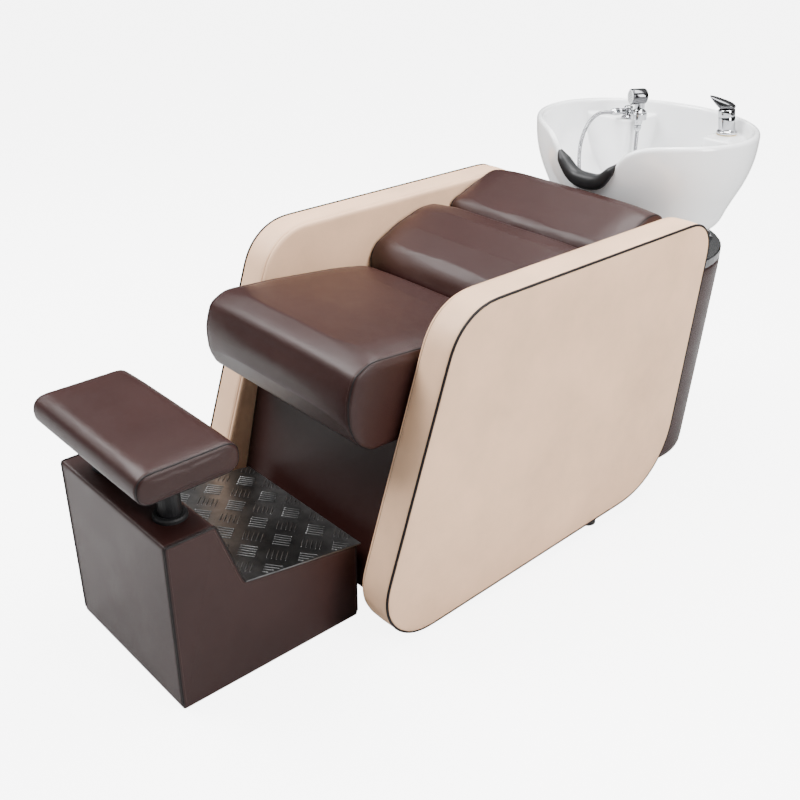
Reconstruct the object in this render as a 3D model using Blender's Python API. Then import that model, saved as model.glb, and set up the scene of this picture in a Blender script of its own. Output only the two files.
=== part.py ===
"""Shampoo backwash unit: a lie-flat salon lounge with a footrest box, a leg rest and a tilting ceramic basin.

Metres, +Z up. The origin is on the floor under the middle of the whole unit. The sitter faces -Y and the
basin is at the +Y end. +X is the mixer's side and -X is the hand spray's side.
"""

import math

import bmesh
import bpy
from mathutils import Matrix, Vector

GAP = 0.0003                       # left between pieces that touch

# ---- driving dimensions -------------------------------------------------------------------------------
HALF_WIDTH = 0.350                 # to the outer faces of the side panels
PANEL_THICKNESS = 0.087
PANEL_INNER = HALF_WIDTH - PANEL_THICKNESS
HALF_LENGTH = 0.945                # the unit runs from -0.945 (leg rest) to 0.945 (back of the basin)

# side panel: a leaning four-sided outline (y, z) with rounded corners, each (corner, radius)
PANEL_CORNERS = (
    ((-0.548, 0.002), 0.116),
    ((0.436, 0.049), 0.190),
    ((0.526, 0.731), 0.070),
    ((-0.305, 0.727), 0.130),
)
PANEL_EDGE_RADIUS = 0.006
PANEL_BOTTOM_SLOPE = (0.049 - 0.002) / (0.436 + 0.548)
FOOT_RADIUS = 0.022
FOOT_PLACES = {"front": -0.340, "rear": 0.200}

RAIL = 0.040                       # side of the square steel cross rails
RAIL_WALL = 0.002
RAILS = {                          # lower front corner (y, z) of each rail
    "rail_front": (-0.400, 0.020),
    "rail_middle": (-0.080, 0.3745),
    "rail_rear": (0.335, 0.548),
    "rail_lower": (0.300, 0.060),
}
BOARD = 0.018                      # plywood
APRON_FOOT = (-0.450, 0.065)
APRON_HEAD = (-0.362, 0.4335)
SEAT_BOARD_TOP = 0.4335
SEAT_BOARD_RANGE = (-0.342, -0.040)
BACK_BOARD_FOOT = (-0.020, 0.5035)
BACK_BOARD_HEAD = (0.452, 0.6500)
BATTEN_WIDTH, BATTEN_HEIGHT = 0.028, 0.030
SEAT_BATTEN_RANGE = (-0.330, -0.090)
BACK_BATTEN_SHARES = (0.045, 0.675)    # where the batten starts and ends along the back board
SEAT_EDGE, BACK_EDGE = 0.012, 0.008    # rounding of the cushions' edges

SEAT_HALF_WIDTH = 0.255
SEAT_OUTLINE = (
    (-0.036, 0.4345), (-0.036, 0.586), (-0.140, 0.604), (-0.332, 0.624), (-0.455, 0.632),
    (-0.496, 0.612), (-0.512, 0.560), (-0.510, 0.505), (-0.492, 0.462), (-0.455, 0.4345),
)
BACK_HALF_WIDTH = 0.2615
LUMBAR_OUTLINE = (
    (-0.020, 0.5045), (0.232, 0.5827), (0.236, 0.676), (0.190, 0.694), (0.140, 0.694),
    (0.060, 0.669), (-0.010, 0.632), (-0.028, 0.600),
)
UPPER_OUTLINE = (
    (0.240, 0.5852), (0.446, 0.6492), (0.453, 0.722), (0.430, 0.740), (0.390, 0.741),
    (0.320, 0.716), (0.246, 0.686),
)

BOX_HALF_WIDTH = 0.207
BOX_OUTLINE = (
    (-0.905, 0.000), (-0.905, 0.387), (-0.795, 0.387), (-0.742, 0.2325), (-0.462, 0.1870), (-0.462, 0.000),
)
BOX_WALL = 0.015
TREAD_HALF_WIDTH = 0.2095
TREAD_FRONT = (-0.7415, 0.2328)
TREAD_REAR = (-0.4520, 0.1857)
TREAD_THICKNESS = 0.003
ARM = 0.025                        # square tubes that tie the box to the frame
ARM_X = 0.120
ARM_BOTTOM = 0.027

POST_X = 0.120
POST_Y = -0.840
POST_RADIUS = 0.0225
POST_BOTTOM = 0.250
SLEEVE_BORE = 0.0232
SLEEVE_RADIUS = 0.0265
SLEEVE_BOTTOM = 0.200
COLLAR_RADIUS = 0.034
COLLAR_HEIGHT = 0.009
COLLAR_CHAMFER = 0.003
PAD_HALF_WIDTH = 0.208
PAD_FRONT, PAD_REAR = -HALF_LENGTH, -0.727
PAD_BOTTOM, PAD_TOP = 0.483, 0.549
PAD_EDGE = 0.022
POST_CHAMFER = 0.002
LEGREST_BOARD_THICKNESS = 0.012
LEGREST_BOARD_HALF_WIDTH = 0.170
LEGREST_BOARD_RANGE = (-0.912, -0.760)

# half-round column: centre y and radius of its plan at the floor and at its top
COLUMN_FLOOR = (0.605, 0.243)
COLUMN_TOP = (0.643, 0.2615)
COLUMN_TOP_Z = 0.545
COLUMN_FRONT = 0.385
COLUMN_WALL = 0.015
CAP_THICKNESS = 0.025
CAP_EDGE = 0.003
CAP_OPENING = 0.065                # radius of the hole the waste pipe passes through
CAP_OPENING_Y = 0.6865

# basin: an ellipse in plan, scaled up its height
BOWL_Y = 0.6965
BOWL_HALF_X, BOWL_HALF_Y = 0.300, 0.247
BOWL_RIM_Z = 0.873
BOWL_BASE_Z = 0.618
BOWL_FLOOR_Z = 0.646
BOWL_OUTSIDE = (                   # (height, share of the plan ellipse)
    (0.618, 0.620), (0.624, 0.715), (0.640, 0.770), (0.670, 0.812), (0.700, 0.858), (0.740, 0.922),
    (0.780, 0.970), (0.820, 0.997), (0.873, 1.008),
)
BOWL_INSIDE = (
    (0.646, 0.140), (0.651, 0.480), (0.662, 0.630), (0.690, 0.750), (0.730, 0.842), (0.780, 0.905),
    (0.830, 0.930), (0.873, 0.938),
)
LIP_HEIGHT = 0.011
NECK_DEPTH = 0.125                 # how far the neck cut-out drops below the rim
NECK_HALF_WIDTH = 0.0895
NECK_SHARPNESS = 4.3
PLINTH_X, PLINTH_Y, PLINTH_TOP = 0.112, 0.782, 0.836
PLINTH_CORNER, PLINTH_CORNER_STEPS = 0.022, 5
PLINTH_FOOT_Z = 0.600              # the plinths are cut off below by the wall they join
PLINTH_REACH = (0.42, 1.02)        # beyond the basin in x and y, before they are cut to it
DECK = 0.016                       # thickness of the plinth's deck over its pocket
DRAIN_RADIUS = 0.0225
TAIL_INNER, TAIL_OUTER, TAIL_FOOT = 0.0185, 0.0215, 0.598
GRID_RADIUS, GRID_TOP_RADIUS, GRID_EDGE, GRID_HEIGHT = 0.0300, 0.0275, 0.001, 0.003
GRID_HOLES, GRID_HOLE_RADIUS, GRID_HOLE_CIRCLE = 6, 0.0038, 0.0115
WASTE_NUT_RADIUS, WASTE_NUT_HEIGHT = 0.031, 0.009
WASTE_WALL = 0.0022
WASTE_FOOT, WASTE_HEAD = 0.505, 0.625

NECK_REST_REACH = 0.098
NECK_REST_STEPS = 9
NECK_TIP_OUTER, NECK_SWELL_OUTER = 0.012, 0.009      # half width of the rest at its tips, and what its middle adds
NECK_TIP_TOP, NECK_SWELL_TOP = 0.004, 0.021
NECK_TIP_FRONT, NECK_SWELL_FRONT = 0.004, 0.011
NECK_TIP_BACK, NECK_SWELL_BACK = 0.003, 0.014
NECK_REST_LEAN = 0.20
LIP_CLEARANCE = 0.0016

PIVOT_Y, PIVOT_Z = 0.775, 0.590    # the basin's tilt axis, along X
PIVOT_RADIUS = 0.005
EAR_OUT, EAR_IN = 0.170, 0.160     # inner faces of the lower ears, and of the upper ones
SHEET = 0.004
LOWER_EAR = (0.034, 0.012, 0.013)  # half width at the foot and at the head, height over the axis
UPPER_EAR = (0.011, 0.030, 0.011)  # half width at the foot and at the head, depth below the axis
EAR_BITE = 0.001                   # how far an ear reaches into its sheet
CARRIER_HOLE = 0.042
BOLT_IN = 0.006                    # how far a pivot bolt passes the inner ear
BOLT_HEAD_RADIUS, BOLT_HEAD, BOLT_HEAD_EDGE = 0.0095, 0.009, 0.002
LOWER_SHEET_RANGE = (0.742, 0.812)
UPPER_SHEET_RANGE = (0.625, 0.815)

TAP_X, TAP_Y = 0.144, 0.856
TAP_TURN = math.radians(60)        # from -Y towards -X
TAP_LEAN = math.radians(8)
TAP_RADIUS = 0.0215
FLANGE_RADIUS = 0.0262
TAP_FOOT = 0.008                   # where the leaning axis starts, above the plinth
TAP_HEIGHT = 0.038                 # along the leaning axis, to the top of the fixed body
DOME_HEIGHT = 0.019
GASKET_BORE = 0.0135
DOME_EDGE = 0.003
LEVER_PIVOT_Y = 0.0155
LEVER_EDGE = 0.0020
LEVER_OUTLINE = (                  # (y, z) over the dome, from the heel round the underside and back over the top
    (0.0225, 0.0034), (0.0155, 0.0000), (-0.0150, 0.0000), (-0.0370, 0.0300), (-0.0400, 0.0370),
    (-0.0360, 0.0382), (-0.0180, 0.0305), (0.0030, 0.0215), (0.0165, 0.0125), (0.0225, 0.0065),
)
LEVER_HALF_WIDTH = 0.0175
GASKET_TOP = 0.0024
MIXER_SHANK_RADIUS, SPRAY_SHANK_RADIUS = 0.0115, 0.0088
MIXER_HOLE, SPRAY_HOLE = 0.0120, 0.0095
MIXER_POCKET, SPRAY_POCKET = 0.026, 0.022
SHANK_WALL, SHANK_DROP = 0.003, 0.032
SHANK_NUT_HEIGHT, SHANK_NUT_GROWTH = 0.011, 1.7

SPRAY_BASE = (-0.144, 0.815)
CRADLE = (-0.095, 0.797)
CRADLE_Z = 0.852
SPRAY_BASE_PROFILE = (             # (radius, height over the plinth)
    (0, 0), (0.0185, 0), (0.0185, 0.003), (0.0160, 0.006), (0.0125, 0.008), (0.0125, 0.028), (0.0095, 0.031),
    (0, 0.032),
)
SPRAY_NECK_RADIUS = 0.0125
CRADLE_PROFILE = (
    (0.0152, -0.009), (0.0200, -0.009), (0.0215, -0.007), (0.0215, 0.007), (0.0200, 0.009), (0.0152, 0.009),
)
CRADLE_HALF_HEIGHT = 0.009
CRADLE_ARM_RADIUS, CRADLE_ARM_END = 0.0065, 0.0185
ELBOW_RADIUS, ELBOW_END = 0.0082, 0.030
HOSE_NUT_RADIUS, HOSE_NUT_MOUTH, HOSE_NUT_CONE = 0.0100, 0.0072, 0.009

HEAD_TURN = math.radians(29)
HEAD_Z = 0.904
HEAD_RADIUS, HEAD_BACK, HEAD_FRONT = 0.0210, 0.016, 0.028
FACE_RADIUS, FACE_FRONT = 0.0185, 0.031
HANDLE_TOP_DROP = 0.015            # from the head's axis down to where the handle ends inside it
HANDLE_PROFILE = (                 # (radius, height) below the shoulder
    (0, 0.8275), (0.0085, 0.8275), (0.0110, 0.8330), (0.0128, 0.8430),
)
SHOULDER_PROFILE = ((0.0135, 0), (0.0190, 0), (0.0190, 0.004), (0.0140, 0.008))    # heights over the shoulder
HANDSET_NUT_PROFILE = ((0, 0.8123), (0.0072, 0.8123), (0.0095, 0.8170), (0.0095, 0.8272), (0, 0.8272))
HOSE_RADIUS = 0.0055
HOSE_EXIT = (-0.1640, 0.7640, 0.8550)
HOSE_ROUTE = (                     # centreline of the shower hose, from the elbow to the handset
    HOSE_EXIT, (-0.1760, 0.7280, 0.8545), (-0.1785, 0.6900, 0.8350), (-0.1750, 0.6600, 0.7950),
    (-0.1640, 0.6420, 0.7450), (-0.1420, 0.6270, 0.7020), (-0.1050, 0.6130, 0.6765),
    (-0.0550, 0.5960, 0.6670), (0.0000, 0.5890, 0.6655), (0.0550, 0.6010, 0.6660),
    (0.0950, 0.6360, 0.6665), (0.1100, 0.6840, 0.6660), (0.0960, 0.7290, 0.6655),
    (0.0600, 0.7590, 0.6655), (0.0120, 0.7720, 0.6680), (-0.0340, 0.7790, 0.6790),
    (-0.0700, 0.7880, 0.7010), (-0.0900, 0.7950, 0.7300), (-0.0950, 0.7970, 0.7600),
    (-0.0950, 0.7970, 0.8120),
)
HOSE_STEPS = 4                     # points read from the curve for each stretch of the route


# ---- helpers ------------------------------------------------------------------------------------------
def clear_scene():
    for thing in list(bpy.data.objects):
        bpy.data.objects.remove(thing)


def make_material(name, colour, roughness, metallic=0.0):
    made = bpy.data.materials.new(name)
    made.use_nodes = True
    shader = made.node_tree.nodes["Principled BSDF"]
    shader.inputs["Base Color"].default_value = (*colour, 1.0)
    shader.inputs["Roughness"].default_value = roughness
    shader.inputs["Metallic"].default_value = metallic
    return made


def add_object(name, bm, material, sharp=35):
    """Turns a bmesh into a named object with outward faces, smooth up to the given edge angle."""
    bmesh.ops.recalc_face_normals(bm, faces=bm.faces)
    mesh = bpy.data.meshes.new(name)
    bm.to_mesh(mesh)
    bm.free()
    mesh.shade_smooth()
    mesh.set_sharp_from_angle(angle=math.radians(sharp))
    thing = bpy.data.objects.new(name, mesh)
    thing.data.materials.append(material)
    bpy.context.collection.objects.link(thing)
    return thing


def hide_cutter(cutter):
    cutter.hide_render = True
    cutter.display_type = "WIRE"
    return cutter


def combine(thing, other, operation="DIFFERENCE"):
    """A Boolean left on the object. The other object is only a tool."""
    modifier = thing.modifiers.new(other.name, "BOOLEAN")
    modifier.operation = operation
    modifier.object = hide_cutter(other)
    return thing


def bevel(thing, width, segments=2, angle=35):
    modifier = thing.modifiers.new("edges", "BEVEL")
    modifier.width = width
    modifier.segments = segments
    modifier.limit_method = "ANGLE"
    modifier.angle_limit = math.radians(angle)
    return thing


def place(thing, location=(0, 0, 0), rotation=(0, 0, 0), parent=None):
    thing.location = location
    thing.rotation_euler = rotation
    if parent is not None:
        thing.parent = parent
    return thing


def make_empty(name, location, rotation=(0, 0, 0)):
    empty = bpy.data.objects.new(name, None)
    bpy.context.collection.objects.link(empty)
    return place(empty, location, rotation)


def hang(pieces, carrier):
    """Parents pieces to an unturned object and leaves them where they are."""
    for piece in pieces:
        piece.parent = carrier
        piece.matrix_parent_inverse = Matrix.Translation(-carrier.location)


def prism(name, outline, low, high, material):
    """A (y, z) outline extruded along X from low to high."""
    bm = bmesh.new()
    face = bm.faces.new([bm.verts.new((low, y, z)) for y, z in outline])
    pushed = bmesh.ops.extrude_face_region(bm, geom=[face])["geom"]
    moved = [v for v in pushed if isinstance(v, bmesh.types.BMVert)]
    bmesh.ops.translate(bm, verts=moved, vec=(high - low, 0, 0))
    return add_object(name, bm, material)


def block(name, low, high, material):
    """A box between two corners."""
    outline = ((low[1], low[2]), (high[1], low[2]), (high[1], high[2]), (low[1], high[2]))
    return prism(name, outline, low[0], high[0], material)


def turned(name, profile, material, steps=24):
    """A closed (radius, height) profile turned about Z. A profile that starts and ends on the axis is solid."""
    bm = bmesh.new()
    verts = [bm.verts.new((r, 0, z)) for r, z in profile]
    on_axis = profile[0][0] < 1e-9 and profile[-1][0] < 1e-9
    pairs = list(zip(verts, verts[1:])) + ([] if on_axis else [(verts[-1], verts[0])])
    edges = [bm.edges.new(pair) for pair in pairs]
    bmesh.ops.spin(
        bm, geom=verts + edges, cent=(0, 0, 0), axis=(0, 0, 1), angle=math.tau, steps=steps, use_duplicate=False
    )
    bmesh.ops.remove_doubles(bm, verts=bm.verts, dist=1e-6)
    return add_object(name, bm, material)


def rod(name, radius, start, end, material, sides=20):
    """A round bar between two points, with its origin at the first."""
    run = Vector(end) - Vector(start)
    profile = ((0, 0), (radius, 0), (radius, run.length), (0, run.length))
    made = turned(name, profile, material, sides)
    return place(made, start, run.to_track_quat("Z", "Y").to_euler())


def skin(bm, rings, closed_ends=True):
    """Joins rings of equal vertex counts into one surface, each ring closed on itself."""
    made = [[bm.verts.new(point) for point in ring] for ring in rings]
    for low, high in zip(made, made[1:]):
        for i in range(len(low)):
            j = (i + 1) % len(low)
            bm.faces.new((low[i], low[j], high[j], high[i]))
    if closed_ends:
        bm.faces.new(made[0])
        bm.faces.new(made[-1])
    return made


def loft(name, rings, material, sharp=35):
    bm = bmesh.new()
    skin(bm, rings)
    return add_object(name, bm, material, sharp)


def circle(centre, radius, tilt=0.0, sides=24):
    """A ring about Z, leaning by tilt towards -Y."""
    turn = Matrix.Rotation(tilt, 3, "X")
    points = []
    for k in range(sides):
        angle = math.tau * k / sides
        points.append(Vector(centre) + turn @ Vector((radius * math.cos(angle), radius * math.sin(angle), 0)))
    return points


def hermite(a, b, slope_a, slope_b, t):
    return (
        (2 * t**3 - 3 * t**2 + 1) * a
        + (t**3 - 2 * t**2 + t) * slope_a
        + (3 * t**2 - 2 * t**3) * b
        + (t**3 - t**2) * slope_b
    )


def smooth_value(table, x):
    """Reads y at x from a short (x, y) table along a smooth curve through its points."""
    last = len(table) - 1
    x = min(max(x, table[0][0]), table[last][0])
    i = next(k for k in range(last) if x <= table[k + 1][0])

    def slope(k):
        low, high = table[max(k - 1, 0)], table[min(k + 1, last)]
        return (high[1] - low[1]) / (high[0] - low[0])

    span = table[i + 1][0] - table[i][0]
    share = (x - table[i][0]) / span
    return hermite(table[i][1], table[i + 1][1], slope(i) * span, slope(i + 1) * span, share)


def smooth_route(points, steps):
    """Points along one smooth curve through the given points."""
    points = [Vector(p) for p in points]
    last = len(points) - 1
    slopes = [(points[min(k + 1, last)] - points[max(k - 1, 0)]) / 2 for k in range(last + 1)]
    route = []
    for k in range(last):
        route += [hermite(points[k], points[k + 1], slopes[k], slopes[k + 1], s / steps) for s in range(steps)]
    return route + [points[last]]


def tube(name, route, radius, material):
    """A round cord along a list of points."""
    curve = bpy.data.curves.new(name, "CURVE")
    curve.dimensions = "3D"
    curve.bevel_depth = radius
    curve.bevel_resolution = 2
    curve.use_fill_caps = True
    spline = curve.splines.new("POLY")
    spline.points.add(len(route) - 1)
    for point, where in zip(spline.points, route):
        point.co = (*where, 1.0)
    thing = bpy.data.objects.new(name, curve)
    thing.data.materials.append(material)
    bpy.context.collection.objects.link(thing)
    return thing


def rounded_outline(corners, steps=8):
    """A polygon (y, z) with each corner rounded to its radius."""
    outline = []
    count = len(corners)
    for k, (corner, radius) in enumerate(corners):
        here = Vector(corner)
        before = (Vector(corners[k - 1][0]) - here).normalized()
        after = (Vector(corners[(k + 1) % count][0]) - here).normalized()
        half = before.angle(after) / 2
        centre = here + (before + after).normalized() * radius / math.sin(half)
        start = here + before * radius / math.tan(half) - centre
        end = here + after * radius / math.tan(half) - centre
        first = math.atan2(start.y, start.x)
        sweep = (math.atan2(end.y, end.x) - first + math.pi) % math.tau - math.pi
        for s in range(steps + 1):
            angle = first + sweep * s / steps
            outline.append((centre.x + radius * math.cos(angle), centre.y + radius * math.sin(angle)))
    return outline


def inset(outline, distance):
    """Moves every side of a closed (y, z) outline inwards. The outline runs clockwise."""
    inner = []
    for k, corner in enumerate(outline):
        here = Vector(corner)
        before = (here - Vector(outline[k - 1])).normalized()
        after = (Vector(outline[(k + 1) % len(outline)]) - here).normalized()
        inwards = Vector((before.y + after.y, -before.x - after.x))
        inner.append(tuple(here + inwards * distance / (1 + before.dot(after))))
    return inner


def shift_square_to(line_start, line_end, distance):
    """Moves a (y, z) line sideways, to its lower right when it climbs towards +Y."""
    run = (Vector(line_end) - Vector(line_start)).normalized()
    side = Vector((run.y, -run.x)) * distance
    return tuple(Vector(line_start) + side), tuple(Vector(line_end) + side)


def board_between(name, start, end, thickness, half_width, material):
    """A flat board whose upper or outer face runs from start to end in (y, z)."""
    low, high = shift_square_to(start, end, thickness)
    return prism(name, (start, end, high, low), -half_width, half_width, material)


def box_tube(name, low, high, wall, along, material):
    """A square tube, open at both ends, along axis 0 (X) or 1 (Y)."""
    made = block(name, low, high, material)
    inner_low = [low[i] - 0.01 if i == along else low[i] + wall for i in range(3)]
    inner_high = [high[i] + 0.01 if i == along else high[i] - wall for i in range(3)]
    return combine(made, block(name + "_inside", inner_low, inner_high, material))


# ---- upholstered frame --------------------------------------------------------------------------------
def panel_bottom(y):
    return PANEL_CORNERS[0][0][1] + PANEL_BOTTOM_SLOPE * (y - PANEL_CORNERS[0][0][0])


def make_panels(mats):
    outline = rounded_outline(PANEL_CORNERS)
    for side, sign in (("left", -1), ("right", 1)):
        low, high = sorted((sign * PANEL_INNER, sign * HALF_WIDTH))
        bevel(prism(f"panel_{side}", outline, low, high, mats["cream_leather"]), PANEL_EDGE_RADIUS, 2)
        middle = sign * (PANEL_INNER + HALF_WIDTH) / 2
        for end, y in FOOT_PLACES.items():
            height = panel_bottom(y - FOOT_RADIUS) - GAP
            foot = turned(
                f"foot_{end}_{side}",
                ((0, 0), (FOOT_RADIUS, 0), (FOOT_RADIUS, height), (0, height)),
                mats["black_plastic"],
                20,
            )
            place(foot, (middle, y, 0))


def make_frame(mats):
    reach = PANEL_INNER - GAP
    for name, (y, z) in RAILS.items():
        box_tube(name, (-reach, y, z), (reach, y + RAIL, z + RAIL), RAIL_WALL, 0, mats["steel"])
    board_between("front_apron", APRON_FOOT, APRON_HEAD, BOARD, reach, mats["brown_leather"])
    seat_low = (-reach, SEAT_BOARD_RANGE[0], SEAT_BOARD_TOP - BOARD)
    block("seat_board", seat_low, (reach, SEAT_BOARD_RANGE[1], SEAT_BOARD_TOP), mats["plywood"])
    board_between("back_board", BACK_BOARD_FOOT, BACK_BOARD_HEAD, BOARD, reach, mats["plywood"])
    under_seat = SEAT_BOARD_TOP - BOARD - GAP
    foot, head = Vector(BACK_BOARD_FOOT), Vector(BACK_BOARD_HEAD)
    on_board = [foot.lerp(head, share) for share in BACK_BATTEN_SHARES]
    batten_foot, batten_head = shift_square_to(*on_board, BOARD + GAP)
    batten_low, batten_high = shift_square_to(batten_foot, batten_head, BATTEN_HEIGHT)
    for side, sign in (("left", -1), ("right", 1)):
        low, high = sorted((sign * reach, sign * (reach - BATTEN_WIDTH)))
        corner_low = (low, SEAT_BATTEN_RANGE[0], under_seat - BATTEN_HEIGHT)
        corner_high = (high, SEAT_BATTEN_RANGE[1], under_seat)
        block(f"seat_batten_{side}", corner_low, corner_high, mats["pine"])
        outline = (batten_foot, batten_head, batten_high, batten_low)
        prism(f"back_batten_{side}", outline, low, high, mats["pine"])


def make_cushions(mats):
    seat = prism("seat_cushion", SEAT_OUTLINE, -SEAT_HALF_WIDTH, SEAT_HALF_WIDTH, mats["brown_leather"])
    bevel(seat, SEAT_EDGE, 2, 60)
    for name, outline in (("lumbar_cushion", LUMBAR_OUTLINE), ("upper_back_cushion", UPPER_OUTLINE)):
        cushion = prism(name, outline, -BACK_HALF_WIDTH, BACK_HALF_WIDTH, mats["brown_leather"])
        bevel(cushion, BACK_EDGE, 2, 60)


# ---- footrest box and leg rest ------------------------------------------------------------------------
def make_footrest(mats):
    box = prism("footrest_box", BOX_OUTLINE, -BOX_HALF_WIDTH, BOX_HALF_WIDTH, mats["brown_leather"])
    below_floor = -2 * BOX_WALL
    open_below = [(y, z if z > 0 else below_floor) for y, z in BOX_OUTLINE]
    hollow = BOX_HALF_WIDTH - BOX_WALL
    combine(box, prism("footrest_hollow", inset(open_below, BOX_WALL), -hollow, hollow, mats["brown_leather"]))
    top = BOX_OUTLINE[1][1]
    for side, sign in (("left", -1), ("right", 1)):
        x = sign * POST_X
        hole = SLEEVE_RADIUS + GAP * 2
        hole_ends = (x, POST_Y, top - 3 * BOX_WALL), (x, POST_Y, top + BOX_WALL)
        combine(box, rod(f"sleeve_hole_{side}", hole, *hole_ends, mats["steel"], 24))
        collar_low, collar_high = top + GAP, top + GAP + COLLAR_HEIGHT
        sleeve = turned(
            f"post_sleeve_{side}",
            (
                (SLEEVE_BORE, SLEEVE_BOTTOM), (SLEEVE_RADIUS, SLEEVE_BOTTOM), (SLEEVE_RADIUS, collar_low),
                (COLLAR_RADIUS, collar_low), (COLLAR_RADIUS, collar_high - COLLAR_CHAMFER),
                (COLLAR_RADIUS - COLLAR_CHAMFER, collar_high), (SLEEVE_BORE, collar_high),
            ),
            mats["black_plastic"],
        )
        place(sleeve, (x, POST_Y, 0))
        middle = sign * ARM_X
        arm_low = (middle - ARM / 2, BOX_OUTLINE[4][0] + GAP, ARM_BOTTOM)
        arm_high = (middle + ARM / 2, RAILS["rail_front"][0] - GAP, ARM_BOTTOM + ARM)
        box_tube(f"footrest_arm_{side}", arm_low, arm_high, RAIL_WALL, 1, mats["steel"])
    run = (Vector(TREAD_REAR) - Vector(TREAD_FRONT)).normalized()
    lift = Vector((-run.y, run.x)) * TREAD_THICKNESS
    outline = (TREAD_FRONT, TREAD_REAR, tuple(Vector(TREAD_REAR) + lift), tuple(Vector(TREAD_FRONT) + lift))
    prism("tread_plate", outline, -TREAD_HALF_WIDTH, TREAD_HALF_WIDTH, mats["tread_plate"])


def make_legrest(mats):
    axis = make_empty("legrest_slide", (0, POST_Y, 0))
    board_top = PAD_BOTTOM - GAP
    board_bottom = board_top - LEGREST_BOARD_THICKNESS
    pad = block(
        "legrest_pad", (-PAD_HALF_WIDTH, PAD_FRONT, PAD_BOTTOM), (PAD_HALF_WIDTH, PAD_REAR, PAD_TOP),
        mats["brown_leather"],
    )
    bevel(pad, PAD_EDGE, 3, 60)
    reach = LEGREST_BOARD_HALF_WIDTH
    board_low = (-reach, LEGREST_BOARD_RANGE[0], board_bottom)
    board_high = (reach, LEGREST_BOARD_RANGE[1], board_top)
    board = block("legrest_board", board_low, board_high, mats["plywood"])
    hang((pad, board), axis)
    for side, sign in (("left", -1), ("right", 1)):
        top = board_bottom - GAP
        profile = (
            (0, POST_BOTTOM), (POST_RADIUS - POST_CHAMFER, POST_BOTTOM), (POST_RADIUS, POST_BOTTOM + POST_CHAMFER),
            (POST_RADIUS, top), (0, top),
        )
        post = turned(f"legrest_post_{side}", profile, mats["black_steel"])
        place(post, (sign * POST_X, 0, 0), parent=axis)


# ---- column and bracket -------------------------------------------------------------------------------
def half_round(centre_y, radius, front, z, sides=20):
    """A U in plan: straight legs from the front, and a half circle round the back."""
    points = [(radius, front, z)]
    for k in range(sides + 1):
        angle = math.pi * k / sides
        points.append((radius * math.cos(angle), centre_y + radius * math.sin(angle), z))
    return points + [(-radius, front, z)]


def make_column(mats):
    rings = []
    for (centre_y, radius), z in ((COLUMN_FLOOR, 0.0), (COLUMN_TOP, COLUMN_TOP_Z - GAP)):
        outer = half_round(centre_y, radius, COLUMN_FRONT, z)
        inner = half_round(centre_y, radius - COLUMN_WALL, COLUMN_FRONT, z)
        rings.append(outer + inner[::-1])
    bm = bmesh.new()
    low, high = skin(bm, rings, closed_ends=False)
    count = len(low)
    for ring in (low, high):
        for k in range(count // 2 - 1):
            bm.faces.new((ring[k], ring[k + 1], ring[count - 2 - k], ring[count - 1 - k]))
    add_object("column_shell", bm, mats["brown_leather"])

    centre_y, radius = COLUMN_TOP
    cap_rings = []
    for z, drawn_in in (
        (0.0, CAP_EDGE / 2), (CAP_EDGE, 0.0), (CAP_THICKNESS - CAP_EDGE, 0.0), (CAP_THICKNESS, CAP_EDGE),
    ):
        cap_rings.append(half_round(centre_y, radius - drawn_in, COLUMN_FRONT + drawn_in, COLUMN_TOP_Z + z, 28))
    cap = loft("column_cap", cap_rings, mats["grey_metal"])
    below = (0, CAP_OPENING_Y, COLUMN_TOP_Z - CAP_THICKNESS)
    above = (0, CAP_OPENING_Y, COLUMN_TOP_Z + 2 * CAP_THICKNESS)
    combine(cap, rod("cap_opening", CAP_OPENING, below, above, mats["grey_metal"], 28))


def ear_outline(foot_z, head_z, foot_half, head_half):
    """A (y, z) trapezium centred on the tilt axis."""
    foot = (PIVOT_Y - foot_half, foot_z), (PIVOT_Y + foot_half, foot_z)
    return (*foot, (PIVOT_Y + head_half, head_z), (PIVOT_Y - head_half, head_z))


def drill_pivots(bracket, name, mats):
    ends = (-HALF_WIDTH, PIVOT_Y, PIVOT_Z), (HALF_WIDTH, PIVOT_Y, PIVOT_Z)
    return combine(bracket, rod(name, PIVOT_RADIUS + GAP * 2, *ends, mats["chrome"], 20))


def make_lower_bracket(mats):
    """A pressed sheet on the cap, with an ear turned up at each end."""
    base_low = COLUMN_TOP_Z + CAP_THICKNESS + GAP
    outer = EAR_OUT + SHEET
    front, back = LOWER_SHEET_RANGE
    bracket = block("bracket_lower", (-outer, front, base_low), (outer, back, base_low + SHEET), mats["chrome"])
    for side, sign in (("left", -1), ("right", 1)):
        low, high = sorted((sign * EAR_OUT, sign * outer))
        foot_half, head_half, over = LOWER_EAR
        outline = ear_outline(base_low + EAR_BITE, PIVOT_Z + over, foot_half, head_half)
        combine(bracket, prism(f"lower_ear_{side}", outline, low, high, mats["chrome"]), "UNION")
    drill_pivots(bracket, "lower_pivot_holes", mats)
    for side, sign in (("left", -1), ("right", 1)):
        inner = EAR_IN - BOLT_IN
        length = EAR_OUT + SHEET + GAP - inner
        profile = (
            (0, 0), (PIVOT_RADIUS, 0), (PIVOT_RADIUS, length), (BOLT_HEAD_RADIUS, length),
            (BOLT_HEAD_RADIUS, length + BOLT_HEAD - BOLT_HEAD_EDGE),
            (BOLT_HEAD_RADIUS - BOLT_HEAD_EDGE, length + BOLT_HEAD), (0, length + BOLT_HEAD),
        )
        bolt = turned(f"pivot_bolt_{side}", profile, mats["black_plastic"], 16)
        place(bolt, (sign * inner, PIVOT_Y, PIVOT_Z), (0, sign * math.pi / 2, 0))


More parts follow.
